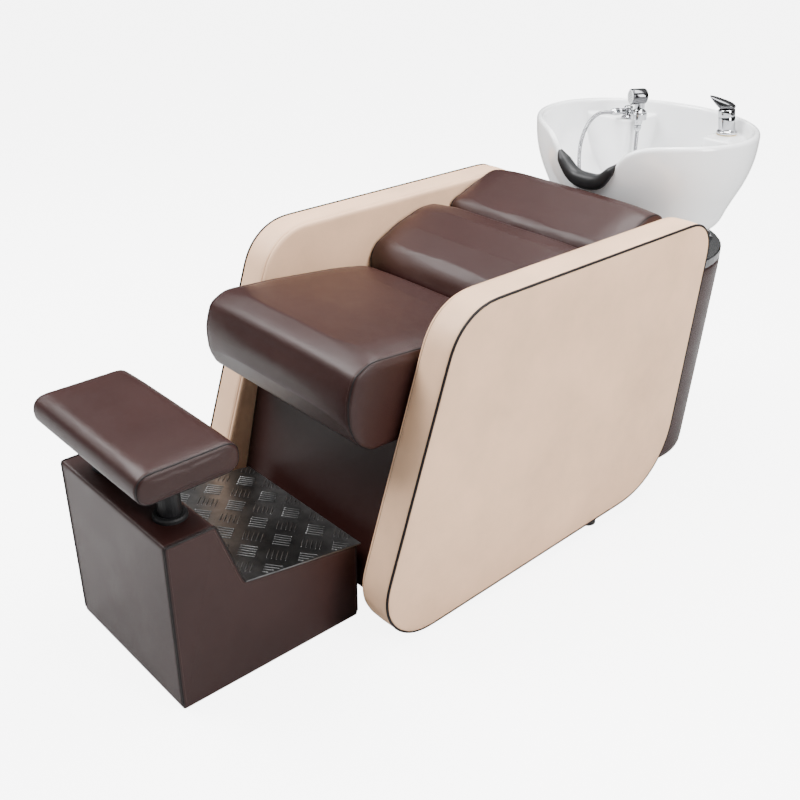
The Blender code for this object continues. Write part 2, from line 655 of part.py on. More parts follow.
def make_upper_bracket(mats):
    """The tilting carrier under the basin: a flat sheet with ears turned down inside the lower ones."""
    top = BOWL_BASE_Z - GAP * 2
    outer = EAR_IN + SHEET
    front, back = UPPER_SHEET_RANGE
    carrier = block("bracket_upper", (-outer, front, top - SHEET), (outer, back, top), mats["chrome"])
    for side, sign in (("left", -1), ("right", 1)):
        low, high = sorted((sign * EAR_IN, sign * outer))
        foot_half, head_half, below = UPPER_EAR
        outline = ear_outline(PIVOT_Z - below, top - EAR_BITE, foot_half, head_half)
        combine(carrier, prism(f"upper_ear_{side}", outline, low, high, mats["chrome"]), "UNION")
    drill_pivots(carrier, "upper_pivot_holes", mats)
    hole_ends = (0, BOWL_Y, top - 2 * SHEET), (0, BOWL_Y, top + SHEET)
    combine(carrier, rod("carrier_hole", CARRIER_HOLE, *hole_ends, mats["chrome"], 28))
    return carrier


# ---- basin --------------------------------------------------------------------------------------------
def rim_height(x, in_front):
    """Height of the rim. In front it drops into a U for the neck."""
    if not in_front:
        return BOWL_RIM_Z
    return BOWL_RIM_Z - NECK_DEPTH / (1 + (abs(x) / NECK_HALF_WIDTH) ** NECK_SHARPNESS)


def bowl_point(angle, share, z):
    """A point on the basin. The angle is 0 in front, in the middle of the neck cut-out."""
    x = BOWL_HALF_X * share * math.sin(angle)
    return (x, BOWL_Y - BOWL_HALF_Y * share * math.cos(angle), z)


def bowl_angles():
    """Close together round the neck cut-out, wider apart elsewhere."""
    fine, coarse = math.radians(4), math.radians(12)
    front = [k * fine for k in range(-12, 12)]
    return front + [math.radians(48) + k * coarse for k in range(22)]


def bowl_columns(grow=0.0, outer_rows=7, lip_rows=4, inner_rows=8):
    """For each angle, the points from the base's edge, up the outside, over the lip and down to the floor.

    A shell that has grown is thicker by that much on both sides, and higher."""
    extra = grow / BOWL_HALF_Y
    columns = []
    for angle in bowl_angles():
        in_front = math.cos(angle) > 0
        rim = rim_height(BOWL_HALF_X * math.sin(angle), in_front)
        rim = rim_height(BOWL_HALF_X * smooth_value(BOWL_OUTSIDE, rim) * math.sin(angle), in_front) + grow
        lip = rim - LIP_HEIGHT
        column = []
        for k in range(outer_rows):
            z = BOWL_BASE_Z + (lip - BOWL_BASE_Z) * (k / outer_rows) ** 1.4
            column.append(bowl_point(angle, smooth_value(BOWL_OUTSIDE, z) + extra, z))
        outside = smooth_value(BOWL_OUTSIDE, lip) + extra
        inside = smooth_value(BOWL_INSIDE, lip) - extra
        for k in range(lip_rows + 1):
            turn = math.pi * k / lip_rows
            share = (outside + inside) / 2 + (outside - inside) / 2 * math.cos(turn)
            column.append(bowl_point(angle, share, lip + LIP_HEIGHT * math.sin(turn)))
        for k in range(1, inner_rows + 1):
            z = BOWL_FLOOR_Z + (lip - BOWL_FLOOR_Z) * (1 - k / inner_rows) ** 2.0
            column.append(bowl_point(angle, smooth_value(BOWL_INSIDE, z) - extra, z))
        columns.append(column)
    return columns


def bowl_shell(name, grow, material):
    columns = bowl_columns(grow)
    return loft(name, [[column[k] for column in columns] for k in range(len(columns[0]))], material, 50)


def plinth_outline(sign):
    """Plan of the tap plinth at one rear corner, rounded on the side that shows."""
    points = []
    for k in range(PLINTH_CORNER_STEPS + 1):
        angle = math.pi / 2 * k / PLINTH_CORNER_STEPS
        x = PLINTH_X + PLINTH_CORNER * (1 - math.cos(angle))
        y = PLINTH_Y + PLINTH_CORNER * (1 - math.sin(angle))
        points.append((sign * x, y))
    far_x, far_y = PLINTH_REACH
    return points + [(sign * far_x, PLINTH_Y), (sign * far_x, far_y), (sign * PLINTH_X, far_y)]


def plinth_bounds(name, material):
    """A solid that ends halfway through the basin's wall, so that a plinth cut to it joins the wall cleanly."""
    rings = []
    for z in (0.634, 0.655, 0.690, 0.740, 0.790, 0.850):
        share = (smooth_value(BOWL_OUTSIDE, z) + smooth_value(BOWL_INSIDE, z)) / 2
        rings.append([bowl_point(angle, share, z) for angle in bowl_angles()])
    return loft(name, rings, material)


def make_bowl(mats):
    """A double-walled shell with a rolled lip, joined to two plinths that carry the mixer and the spray."""
    ceramic = mats["ceramic"]
    bowl = bowl_shell("bowl", 0.0, ceramic)
    for side, sign in (("left", -1), ("right", 1)):
        rings = [[(x, y, z) for x, y in plinth_outline(sign)] for z in (PLINTH_FOOT_Z, PLINTH_TOP)]
        plinth = loft(f"plinth_{side}", rings, ceramic)
        combine(plinth, plinth_bounds(f"plinth_bounds_{side}", ceramic), "INTERSECT")
        combine(bowl, plinth, "UNION")
    drain_ends = (0, BOWL_Y, BOWL_BASE_Z - DECK), (0, BOWL_Y, BOWL_FLOOR_Z + DECK)
    combine(bowl, rod("drain_hole", DRAIN_RADIUS, *drain_ends, ceramic, 24))
    holes = (("tap", TAP_X, TAP_Y, MIXER_HOLE, MIXER_POCKET), ("spray", *SPRAY_BASE, SPRAY_HOLE, SPRAY_POCKET))
    for name, x, y, hole, pocket in holes:
        deck_low = PLINTH_TOP - DECK
        combine(bowl, rod(f"{name}_hole", hole, (x, y, deck_low - DECK), (x, y, PLINTH_TOP + DECK), ceramic, 20))
        combine(bowl, rod(f"{name}_pocket", pocket, (x, y, PIVOT_Z), (x, y, deck_low), ceramic, 24))
    return bowl


def make_neck_rest(mats):
    """A rubber saddle over the neck cut-out, thick in the middle and thin at its tips."""
    def lip_centre(x):
        z = rim_height(x, True)
        share = (smooth_value(BOWL_OUTSIDE, z - LIP_HEIGHT) + smooth_value(BOWL_INSIDE, z - LIP_HEIGHT)) / 2
        depth = math.sqrt(1 - (x / (BOWL_HALF_X * share)) ** 2)
        return Vector((x, BOWL_Y - BOWL_HALF_Y * share * depth, z))

    rings = []
    for k in range(-NECK_REST_STEPS, NECK_REST_STEPS + 1):
        x = NECK_REST_REACH * k / NECK_REST_STEPS
        here = lip_centre(x)
        along = (lip_centre(x + 1e-4) - lip_centre(x - 1e-4)).normalized()
        outward = Vector((x / BOWL_HALF_X**2, (here.y - BOWL_Y) / BOWL_HALF_Y**2, 0)).normalized()
        up = outward.cross(along).normalized()
        up = up if up.z > 0 else -up
        full = math.cos(math.pi / 2 * x / NECK_REST_REACH * 0.97) ** 0.7
        outer = NECK_TIP_OUTER + NECK_SWELL_OUTER * full
        top = NECK_TIP_TOP + NECK_SWELL_TOP * full
        front = NECK_TIP_FRONT + NECK_SWELL_FRONT * full
        back = NECK_TIP_BACK + NECK_SWELL_BACK * full
        section = (
            (0.002, -front), (outer, -front * 0.8), (outer, top * 0.45), (outer * 0.55, top * 0.9), (0, top),
            (-outer * 0.6, top * 0.85), (-outer, top * 0.3), (-outer, -back), (-0.002, -back),
        )
        lean = NECK_REST_LEAN * up.z
        rings.append([here + outward * (d + lean * h) + up * h for d, h in section])
    rest = loft("neck_rest", rings, mats["rubber"], 50)
    return combine(rest, bowl_shell("lip_clearance", LIP_CLEARANCE, mats["rubber"]))


def make_drain(mats):
    flange_low = BOWL_FLOOR_Z + GAP * 2
    flange_high = flange_low + GRID_HEIGHT
    profile = (
        (0, flange_low), (TAIL_INNER, flange_low), (TAIL_INNER, TAIL_FOOT), (TAIL_OUTER, TAIL_FOOT),
        (TAIL_OUTER, flange_low), (GRID_RADIUS, flange_low), (GRID_RADIUS, flange_low + GRID_EDGE),
        (GRID_TOP_RADIUS, flange_high), (0, flange_high),
    )
    grid = place(turned("drain_grid", profile, mats["chrome"], 28), (0, BOWL_Y, 0))
    for k in range(GRID_HOLES):
        angle = math.tau * k / GRID_HOLES
        x, y = GRID_HOLE_CIRCLE * math.cos(angle), BOWL_Y + GRID_HOLE_CIRCLE * math.sin(angle)
        ends = (x, y, BOWL_FLOOR_Z - DECK), (x, y, BOWL_FLOOR_Z + DECK)
        combine(grid, rod(f"grid_hole_{k}", GRID_HOLE_RADIUS, *ends, mats["chrome"], 10))

    nut_top = BOWL_BASE_Z - GAP
    nut_low = nut_top - WASTE_NUT_HEIGHT
    bore = TAIL_OUTER + GAP * 2
    profile = ((bore, nut_low), (WASTE_NUT_RADIUS, nut_low), (WASTE_NUT_RADIUS, nut_top), (bore, nut_top))
    nut = place(turned("waste_nut", profile, mats["brass"], 8), (0, BOWL_Y, 0))
    ends = (0, BOWL_Y, nut_low - WASTE_NUT_HEIGHT), (0, BOWL_Y, nut_top + WASTE_NUT_HEIGHT)
    combine(nut, rod("waste_nut_bore", bore, *ends, mats["brass"], 28))

    outer = TAIL_INNER - GAP * 2
    inner = outer - WASTE_WALL
    profile = ((inner, WASTE_FOOT), (outer, WASTE_FOOT), (outer, WASTE_HEAD), (inner, WASTE_HEAD))
    pipe = place(turned("waste_pipe", profile, mats["white_plastic"], 24), (0, BOWL_Y, 0))
    return [grid, nut, pipe]


def shank_and_nut(name, x, y, radius, head_z, mats):
    """A threaded tube that hangs from a fitting through the plinth's deck, and the nut that clamps it."""
    deck_low = PLINTH_TOP - DECK
    inner, foot = radius - SHANK_WALL, deck_low - SHANK_DROP
    profile = ((inner, foot), (radius, foot), (radius, head_z), (inner, head_z))
    shank = turned(f"{name}_shank", profile, mats["brass"], 20)
    bore, outer = radius + GAP * 2, radius * SHANK_NUT_GROWTH
    nut_low = deck_low - SHANK_NUT_HEIGHT
    profile = ((bore, nut_low), (outer, nut_low), (outer, deck_low - GAP), (bore, deck_low - GAP))
    nut = turned(f"{name}_nut", profile, mats["brass"], 20)
    return [place(piece, (x, y, 0)) for piece in (shank, nut)]


# ---- mixer --------------------------------------------------------------------------------------------
def make_mixer(mats):
    """A leaning round body on a flange, with a dome that swivels and a lever that lifts."""
    base = make_empty("mixer_base", (TAP_X, TAP_Y, PLINTH_TOP), (0, 0, -TAP_TURN))
    profile = ((GASKET_BORE, GAP), (FLANGE_RADIUS, GAP), (FLANGE_RADIUS, GASKET_TOP), (GASKET_BORE, GASKET_TOP))
    place(turned("mixer_gasket", profile, mats["brass"], 28), parent=base)
    foot = Vector((0, 0, TAP_FOOT))
    rings = []
    for height, radius in (
        (0.0027, FLANGE_RADIUS - 0.001), (0.0034, FLANGE_RADIUS), (0.0080, FLANGE_RADIUS),
        (0.0105, FLANGE_RADIUS - 0.002), (0.0125, TAP_RADIUS + 0.0005),
    ):
        rings.append(circle((0, 0, height), radius, 0, 28))
    lean = Matrix.Rotation(TAP_LEAN, 3, "X")
    for along in (0.009, 0.023, TAP_HEIGHT):
        rings.append(circle(foot + lean @ Vector((0, 0, along)), TAP_RADIUS, TAP_LEAN, 28))
    place(loft("mixer_body", rings, mats["chrome"], 40), parent=base)

    turn = (TAP_LEAN, 0, -TAP_TURN)
    swivel = make_empty("mixer_swivel", (TAP_X, TAP_Y, PLINTH_TOP + TAP_FOOT), turn)
    dome_low, dome_high = TAP_HEIGHT + GAP, TAP_HEIGHT + DOME_HEIGHT
    profile = (
        (0, dome_low), (TAP_RADIUS, dome_low), (TAP_RADIUS, dome_high - DOME_EDGE),
        (TAP_RADIUS - DOME_EDGE * 2 / 3, dome_high), (0, dome_high),
    )
    place(turned("mixer_dome", profile, mats["chrome"], 28), parent=swivel)
    low = dome_high + GAP * 2
    lift = make_empty("mixer_lift", (0, LEVER_PIVOT_Y, low))
    lift.parent = swivel
    outline = [(y - LEVER_PIVOT_Y, z) for y, z in LEVER_OUTLINE]
    lever = prism("mixer_lever", outline, -LEVER_HALF_WIDTH, LEVER_HALF_WIDTH, mats["chrome"])
    bevel(lever, LEVER_EDGE, 2, 50)
    place(lever, parent=lift)
    return [base, swivel]


# ---- hand spray ---------------------------------------------------------------------------------------
def level_point(start, direction, distance, z):
    return (start[0] + direction.x * distance, start[1] + direction.y * distance, z)


def make_spray_holder(mats):
    """An upright with a ring for the handset on one side and the hose's outlet on the other."""
    foot = PLINTH_TOP + GAP
    profile = [(radius, foot + height) for radius, height in SPRAY_BASE_PROFILE]
    base = place(turned("spray_base", profile, mats["chrome"], 24), (*SPRAY_BASE, 0))
    to_ring = Vector((CRADLE[0] - SPRAY_BASE[0], CRADLE[1] - SPRAY_BASE[1]))
    reach = to_ring.length
    to_ring.normalize()
    ring = place(turned("spray_cradle", CRADLE_PROFILE, mats["chrome"], 28), (*CRADLE, CRADLE_Z))
    arm_start = level_point(SPRAY_BASE, to_ring, SPRAY_NECK_RADIUS + GAP, CRADLE_Z)
    arm_end = level_point(SPRAY_BASE, to_ring, reach - CRADLE_ARM_END, CRADLE_Z)
    combine(ring, rod("cradle_arm", CRADLE_ARM_RADIUS, arm_start, arm_end, mats["chrome"], 16), "UNION")

    to_hose = Vector((HOSE_EXIT[0] - SPRAY_BASE[0], HOSE_EXIT[1] - SPRAY_BASE[1]))
    span = to_hose.length
    to_hose.normalize()
    z = HOSE_EXIT[2]
    elbow_start = level_point(SPRAY_BASE, to_hose, SPRAY_NECK_RADIUS + GAP, z)
    elbow_end = level_point(SPRAY_BASE, to_hose, ELBOW_END, z)
    elbow = rod("hose_elbow", ELBOW_RADIUS, elbow_start, elbow_end, mats["chrome"], 20)
    nut_start = level_point(SPRAY_BASE, to_hose, ELBOW_END + GAP, z)
    length = span - GAP - ELBOW_END - GAP
    profile = (
        (0, 0), (HOSE_NUT_RADIUS - 0.0008, 0), (HOSE_NUT_RADIUS, 0.002), (HOSE_NUT_RADIUS, length - HOSE_NUT_CONE),
        (HOSE_NUT_MOUTH, length), (0, length),
    )
    nut = turned("hose_nut", profile, mats["chrome"], 16)
    place(nut, nut_start, Vector((*to_hose, 0)).to_track_quat("Z", "Y").to_euler())
    return [base, ring, elbow, nut]


def make_handset(mats):
    """A short handle that drops into the cradle's ring, and a round head that faces the sitter."""
    shoulder = CRADLE_Z + CRADLE_HALF_HEIGHT + GAP
    top = HEAD_Z - HANDLE_TOP_DROP
    profile = [*HANDLE_PROFILE, *((radius, shoulder + height) for radius, height in SHOULDER_PROFILE)]
    profile += [(0.0130, top), (0, top)]
    handle = place(turned("handset", profile, mats["chrome"], 24), (*CRADLE, 0))
    facing = Vector((-math.sin(HEAD_TURN), -math.cos(HEAD_TURN)))
    ends = level_point(CRADLE, facing, -HEAD_BACK, HEAD_Z), level_point(CRADLE, facing, HEAD_FRONT, HEAD_Z)
    combine(handle, rod("spray_head", HEAD_RADIUS, *ends, mats["chrome"], 28), "UNION")
    ends = level_point(CRADLE, facing, HEAD_FRONT + GAP, HEAD_Z), level_point(CRADLE, facing, FACE_FRONT, HEAD_Z)
    face = rod("spray_face", FACE_RADIUS, *ends, mats["white_plastic"], 28)
    nut = place(turned("handset_nut", HANDSET_NUT_PROFILE, mats["chrome"], 16), (*CRADLE, 0))
    hang((face, nut), handle)
    return handle


def main():
    clear_scene()
    mats = {
        "cream_leather": make_material("cream_leather", (0.78, 0.62, 0.48), 0.45),
        "brown_leather": make_material("brown_leather", (0.075, 0.035, 0.032), 0.38),
        "tread_plate": make_material("tread_plate", (0.10, 0.10, 0.11), 0.28, 0.9),
        "black_steel": make_material("black_steel", (0.02, 0.02, 0.022), 0.35, 0.3),
        "black_plastic": make_material("black_plastic", (0.02, 0.02, 0.02), 0.5),
        "steel": make_material("steel", (0.30, 0.30, 0.31), 0.45, 0.8),
        "plywood": make_material("plywood", (0.55, 0.40, 0.24), 0.7),
        "pine": make_material("pine", (0.65, 0.48, 0.28), 0.7),
        "grey_metal": make_material("grey_metal", (0.55, 0.55, 0.55), 0.35, 0.8),
        "chrome": make_material("chrome", (0.80, 0.80, 0.82), 0.08, 1.0),
        "brass": make_material("brass", (0.72, 0.55, 0.25), 0.3, 1.0),
        "ceramic": make_material("ceramic", (0.90, 0.90, 0.92), 0.08),
        "rubber": make_material("rubber", (0.015, 0.015, 0.016), 0.45),
        "white_plastic": make_material("white_plastic", (0.80, 0.80, 0.82), 0.4),
    }
    make_panels(mats)
    make_frame(mats)
    make_cushions(mats)
    make_footrest(mats)
    make_legrest(mats)
    make_column(mats)
    make_lower_bracket(mats)

    tilting = [make_upper_bracket(mats), make_bowl(mats), make_neck_rest(mats), make_handset(mats)]
    tilting += make_drain(mats) + make_mixer(mats) + make_spray_holder(mats)
    tilting += shank_and_nut("mixer", TAP_X, TAP_Y, MIXER_SHANK_RADIUS, PLINTH_TOP + GASKET_TOP, mats)
    tilting += shank_and_nut("spray", *SPRAY_BASE, SPRAY_SHANK_RADIUS, PLINTH_TOP, mats)
    tilting.append(tube("shower_hose", smooth_route(HOSE_ROUTE, HOSE_STEPS), HOSE_RADIUS, mats["chrome"]))
    hang(tilting, make_empty("basin_tilt", (0, PIVOT_Y, PIVOT_Z)))


main()
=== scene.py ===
"""Looks of the shampoo backwash unit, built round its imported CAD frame.

Metres, +Z up, the sitter faces -Y, the mixer is on the +X side and the hand spray on the -X side.
"""

import math

import bmesh
import bpy
import numpy as np
from mathutils import Matrix, Vector, geometry
from mathutils.bvhtree import BVHTree


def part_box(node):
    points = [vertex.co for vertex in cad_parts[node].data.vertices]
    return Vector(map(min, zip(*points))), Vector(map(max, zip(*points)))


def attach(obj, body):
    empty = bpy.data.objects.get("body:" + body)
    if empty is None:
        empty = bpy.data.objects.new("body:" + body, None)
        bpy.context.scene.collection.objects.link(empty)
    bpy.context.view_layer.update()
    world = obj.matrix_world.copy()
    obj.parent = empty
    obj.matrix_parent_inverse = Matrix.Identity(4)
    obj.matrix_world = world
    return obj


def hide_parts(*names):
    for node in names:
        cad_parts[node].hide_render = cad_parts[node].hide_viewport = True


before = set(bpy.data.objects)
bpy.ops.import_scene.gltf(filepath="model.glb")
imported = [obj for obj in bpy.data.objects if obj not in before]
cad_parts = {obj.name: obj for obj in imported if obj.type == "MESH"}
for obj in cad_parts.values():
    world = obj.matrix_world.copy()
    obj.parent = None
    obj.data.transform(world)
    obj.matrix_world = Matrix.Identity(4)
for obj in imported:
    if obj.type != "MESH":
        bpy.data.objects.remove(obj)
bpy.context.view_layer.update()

# ---- driving sizes, as in the CAD ---------------------------------------------------------------------
BOWL_Y = 0.6965
BOWL_HALF_X, BOWL_HALF_Y = 0.300, 0.247
BOWL_RIM_Z, BOWL_BASE_Z, BOWL_FLOOR_Z = 0.873, 0.618, 0.646
BOWL_OUTSIDE = (                   # (height, share of the plan ellipse)
    (0.618, 0.620), (0.624, 0.715), (0.640, 0.770), (0.670, 0.812), (0.700, 0.858), (0.740, 0.922),
    (0.780, 0.970), (0.820, 0.997), (0.873, 1.008),
)
BOWL_INSIDE = (
    (0.646, 0.140), (0.651, 0.480), (0.662, 0.630), (0.690, 0.750), (0.730, 0.842), (0.780, 0.905),
    (0.830, 0.930), (0.873, 0.938),
)
LIP_HEIGHT = 0.011
NECK_DEPTH, NECK_HALF_WIDTH, NECK_SHARPNESS = 0.125, 0.0895, 4.3
NECK_REST_REACH = 0.098
NECK_EASE = 0.011                  # evens out the line the neck rest follows
PLINTH_X, PLINTH_Y, PLINTH_TOP = 0.112, 0.782, 0.836
PLINTH_CORNER = 0.022
PLINTH_REACH = (0.42, 1.02)        # beyond the basin in x and y, before they are cut to it
DECK = 0.016
DRAIN_RADIUS = 0.0225

TAP = Vector((0.144, 0.856, PLINTH_TOP))
TAP_TURN, TAP_LEAN = math.radians(60), math.radians(8)
TAP_FOOT, TAP_RADIUS, FLANGE_RADIUS = 0.008, 0.0215, 0.0262
TAP_HEIGHT, DOME_HEIGHT = 0.038, 0.019
MIXER_HOLE, SPRAY_HOLE = 0.0120, 0.0095
MIXER_POCKET, SPRAY_POCKET = 0.026, 0.022
SPRAY_BASE = Vector((-0.144, 0.815, PLINTH_TOP))
CRADLE = Vector((-0.095, 0.797, 0.852))
HEAD_TURN, HEAD_Z, HEAD_RADIUS = math.radians(29), 0.904, 0.021
HOSE_RADIUS = 0.0055
HOSE_ROUTE = (                     # centreline of the shower hose, from the elbow to the handset
    (-0.1640, 0.7640, 0.8550), (-0.1760, 0.7280, 0.8545), (-0.1785, 0.6900, 0.8350),
    (-0.1750, 0.6600, 0.7950), (-0.1640, 0.6420, 0.7450), (-0.1420, 0.6270, 0.7020),
    (-0.1050, 0.6130, 0.6765), (-0.0550, 0.5960, 0.6670), (0.0000, 0.5890, 0.6655),
    (0.0550, 0.6010, 0.6660), (0.0950, 0.6360, 0.6665), (0.1100, 0.6840, 0.6660),
    (0.0960, 0.7290, 0.6655), (0.0600, 0.7590, 0.6655), (0.0120, 0.7720, 0.6680),
    (-0.0340, 0.7790, 0.6790), (-0.0700, 0.7880, 0.7010), (-0.0900, 0.7950, 0.7300),
    (-0.0950, 0.7970, 0.7600), (-0.0950, 0.7970, 0.8120),
)


# ---- materials ----------------------------------------------------------------------------------------
NODE_SETTINGS = ("operation", "feature")    # what a node keeps outside its sockets


class Look:
    """A node material that is written a few links at a time."""

    def __init__(self, name, **values):
        self.material = bpy.data.materials.new(name)
        self.material.use_nodes = True
        self.tree = self.material.node_tree
        self.shader = self.tree.nodes["Principled BSDF"]
        for socket, value in values.items():
            self.shader.inputs[socket.replace("_", " ")].default_value = value
        self.place = self.tree.nodes.new("ShaderNodeTexCoord").outputs["Object"]

    def node(self, kind, links=(), **values):
        made = self.tree.nodes.new("ShaderNode" + kind)
        for name, value in values.items():
            if name in NODE_SETTINGS:
                setattr(made, name, value)
            else:
                made.inputs[name.replace("_", " ")].default_value = value
        for socket, source in dict(links).items():
            self.tree.links.new(source, made.inputs[socket])
        return made

    def stretched(self, scale):
        """Texture space squeezed along some axes."""
        return self.node("Mapping", {"Vector": self.place}, Scale=scale).outputs["Vector"]

    def noise(self, scale, detail=4.0, roughness=0.55, place=None):
        at = {"Vector": place or self.place}
        return self.node("TexNoise", at, Scale=scale, Detail=detail, Roughness=roughness).outputs["Fac"]

    def cells(self, scale):
        made = self.node("TexVoronoi", {"Vector": self.place}, feature="DISTANCE_TO_EDGE", Scale=scale)
        return made.outputs["Distance"]

    def ramp(self, source, stops):
        """A colour ramp through (position, colour or number) stops."""
        made = self.node("ValToRGB", {"Fac": source})
        while len(made.color_ramp.elements) < len(stops):
            made.color_ramp.elements.new(0.5)
        for element, (position, colour) in zip(made.color_ramp.elements, stops):
            element.position = position
            element.color = (*colour, 1.0) if isinstance(colour, tuple) else (colour, colour, colour, 1.0)
        return made.outputs["Color"]

    def spread(self, source, low, high):
        made = self.node("MapRange", {"Value": source})
        for socket, value in (("From Min", 0.3), ("From Max", 0.7), ("To Min", low), ("To Max", high)):
            made.inputs[socket].default_value = value
        return made.outputs["Result"]

    def join(self, first, second, share=1.0):
        """first + share * second."""
        scaled = self.node("Math", {0: second}, operation="MULTIPLY")
        scaled.inputs[1].default_value = share
        return self.node("Math", {0: first, 1: scaled.outputs[0]}, operation="ADD").outputs[0]

    def finish(self, colour=None, roughness=None, bump=None, depth=0.0003, strength=0.5):
        for socket, source in (("Base Color", colour), ("Roughness", roughness)):
            if source is not None:
                self.tree.links.new(source, self.shader.inputs[socket])
        if bump is not None:
            made = self.node("Bump", {"Height": bump}, Strength=strength, Distance=depth)
            self.tree.links.new(made.outputs["Normal"], self.shader.inputs["Normal"])
        return self.material


def mixed(colour, share):
    return tuple(min(1.0, c * share) for c in colour)


def leather(name, colour, low, high, grain=1.0, coat=0.12):
    """Pebbled upholstery leather: fine cells broken by creases, cloudy tone and uneven polish."""
    look = Look(name, Coat_Weight=coat, Coat_Roughness=0.26, Specular_IOR_Level=0.24)
    pebble = look.ramp(look.cells(1050.0), ((0.0, 0.0), (0.22, 1.0)))
    folds = look.noise(240.0, 5.0, 0.62)
    slack = look.noise(11.0, 2.0, 0.5)
    height = look.join(look.join(pebble, folds, share=1.1), slack, share=2.0)
    cloud = look.noise(5.0, 4.0, 0.6)
    tone = look.ramp(
        look.join(cloud, look.noise(420.0, 2.0), share=0.18),
        ((0.35, mixed(colour, 0.86)), (0.60, colour), (0.85, mixed(colour, 1.12))),
    )
    polish = look.spread(look.join(look.noise(9.0, 5.0), look.noise(300.0), share=0.3), low, high)
    return look.finish(tone, polish, height, 0.00022 * grain, 0.42)


def chrome():
    look = Look("chrome_plate", Metallic=1.0, Base_Color=(0.50, 0.505, 0.52, 1.0))
    smear = look.noise(34.0, 6.0, 0.6)
    fine = look.noise(900.0, 2.0)
    return look.finish(None, look.spread(smear, 0.035, 0.12), fine, 0.00002, 0.2)


def ceramic():
    """Thick white glaze: nearly smooth, with a faint orange peel and a slightly uneven gloss."""
    look = Look("glazed_ceramic", Coat_Weight=0.6, Coat_Roughness=0.04, Specular_IOR_Level=0.55)
    tone = look.ramp(look.noise(4.0, 3.0), ((0.3, (0.90, 0.905, 0.915)), (0.7, (0.94, 0.945, 0.95))))
    gloss = look.spread(look.noise(16.0, 4.0), 0.07, 0.14)
    return look.finish(tone, gloss, look.noise(26.0, 2.0), 0.0004, 0.12)


def rubber():
    look = Look("satin_rubber", Specular_IOR_Level=0.35)
    tone = look.ramp(look.noise(30.0, 4.0), ((0.3, (0.007, 0.007, 0.008)), (0.7, (0.014, 0.014, 0.015))))
    gloss = look.spread(look.noise(60.0, 5.0), 0.42, 0.56)
    return look.finish(tone, gloss, look.noise(1500.0, 3.0), 0.00008, 0.5)


def plastic(name, colour, low=0.38, high=0.55):
    """Moulded plastic with a fine spark-eroded texture."""
    look = Look(name, Specular_IOR_Level=0.45)
    tone = look.ramp(look.noise(45.0, 3.0), ((0.3, mixed(colour, 0.85)), (0.7, mixed(colour, 1.15))))
    gloss = look.spread(look.noise(80.0, 4.0), low, high)
    return look.finish(tone, gloss, look.noise(2200.0, 2.0), 0.00008, 0.5)


def painted_steel():
    look = Look("powder_coat", Specular_IOR_Level=0.25)
    tone = look.ramp(look.noise(20.0, 4.0), ((0.3, (0.008, 0.008, 0.009)), (0.7, (0.014, 0.014, 0.015))))
    gloss = look.spread(look.noise(40.0, 5.0), 0.34, 0.48)
    return look.finish(tone, gloss, look.noise(700.0, 2.0), 0.00015, 0.4)


def tread_metal(name, dark, bright):
    """Rolled sheet, finely scratched, with a cloudy tone between a dark and a bright colour."""
    look = Look(name, Metallic=1.0)
    grain = look.noise(60.0, 6.0, 0.7, look.stretched((1.0, 14.0, 1.0)))
    tone = look.ramp(look.noise(22.0, 5.0), ((0.3, dark), (0.7, bright)))
    rough = look.spread(look.join(grain, look.noise(30.0, 4.0), share=0.6), 0.13, 0.33)
    return look.finish(tone, rough, grain, 0.00004, 0.3)


def satin_metal(name, colour, low=0.28, high=0.42):
    look = Look(name, Metallic=1.0)
    grain = look.noise(90.0, 6.0, 0.7, look.stretched((18.0, 1.0, 1.0)))
    tone = look.ramp(look.noise(18.0, 4.0), ((0.3, mixed(colour, 0.86)), (0.7, mixed(colour, 1.1))))
    return look.finish(tone, look.spread(grain, low, high), grain, 0.00005, 0.3)


def wood():
    """Raw plywood and battens: long grain, darker year rings and dull, fuzzy pores."""
    look = Look("raw_wood", Specular_IOR_Level=0.3)
    along = look.stretched((1.0, 9.0, 30.0))
    grain = look.noise(14.0, 8.0, 0.65, along)
    shades = ((0.3, (0.30, 0.18, 0.09)), (0.5, (0.50, 0.34, 0.19)), (0.75, (0.62, 0.45, 0.27)))
    pores = look.noise(70.0, 6.0, 0.7, along)
    return look.finish(look.ramp(grain, shades), look.spread(grain, 0.6, 0.8), pores, 0.0002, 0.6)


BROWN = (0.0240, 0.0078, 0.0066)
CREAM = (0.74, 0.475, 0.305)


def make_looks():
    return {
        "brown": leather("brown_hide", BROWN, 0.28, 0.38, 1.0, 0.07),
        "piping": leather("piping_hide", (0.006, 0.003, 0.003), 0.44, 0.56, 0.6, 0.0),
        "cream": leather("cream_hide", CREAM, 0.40, 0.52, 0.9, 0.04),
        "brown_thread": plastic("brown_thread", (0.050, 0.022, 0.019), 0.5, 0.7),
        "cream_thread": plastic("cream_thread", (0.62, 0.45, 0.32), 0.5, 0.7),
        "chrome": chrome(),
        "ceramic": ceramic(),
        "rubber": rubber(),
        "black": plastic("black_moulding", (0.009, 0.009, 0.0095), 0.5, 0.65),
        "white": plastic("white_moulding", (0.74, 0.75, 0.77), 0.25, 0.4),
        "steel": painted_steel(),
        "tread": tread_metal("rolled_sheet", 0.10, 0.19),
        # the bars get a lighter metal colour than the sheet
        "tread_bars": tread_metal("lighter_bar_metal", 0.15, 0.27),
        "cap": satin_metal("cap_sheet", (0.21, 0.21, 0.215), 0.12, 0.24),
        # the chromed hose gets a darker metal colour than the chrome: painted shade, so it stands out against
        # the white ground
        "hose": satin_metal("hose_metal_with_painted_shade", (0.26, 0.26, 0.27), 0.10, 0.20),
        # chrome darkened to paint in the dark reflections that the lever blade and spray barrel show
        "dark_reflection_chrome": satin_metal("chrome_with_painted_dark_reflections", (0.10, 0.10, 0.105), 0.05, 0.12),
        "brass": satin_metal("yellow_brass", (0.62, 0.47, 0.22), 0.2, 0.34),
        "wood": wood(),
    }


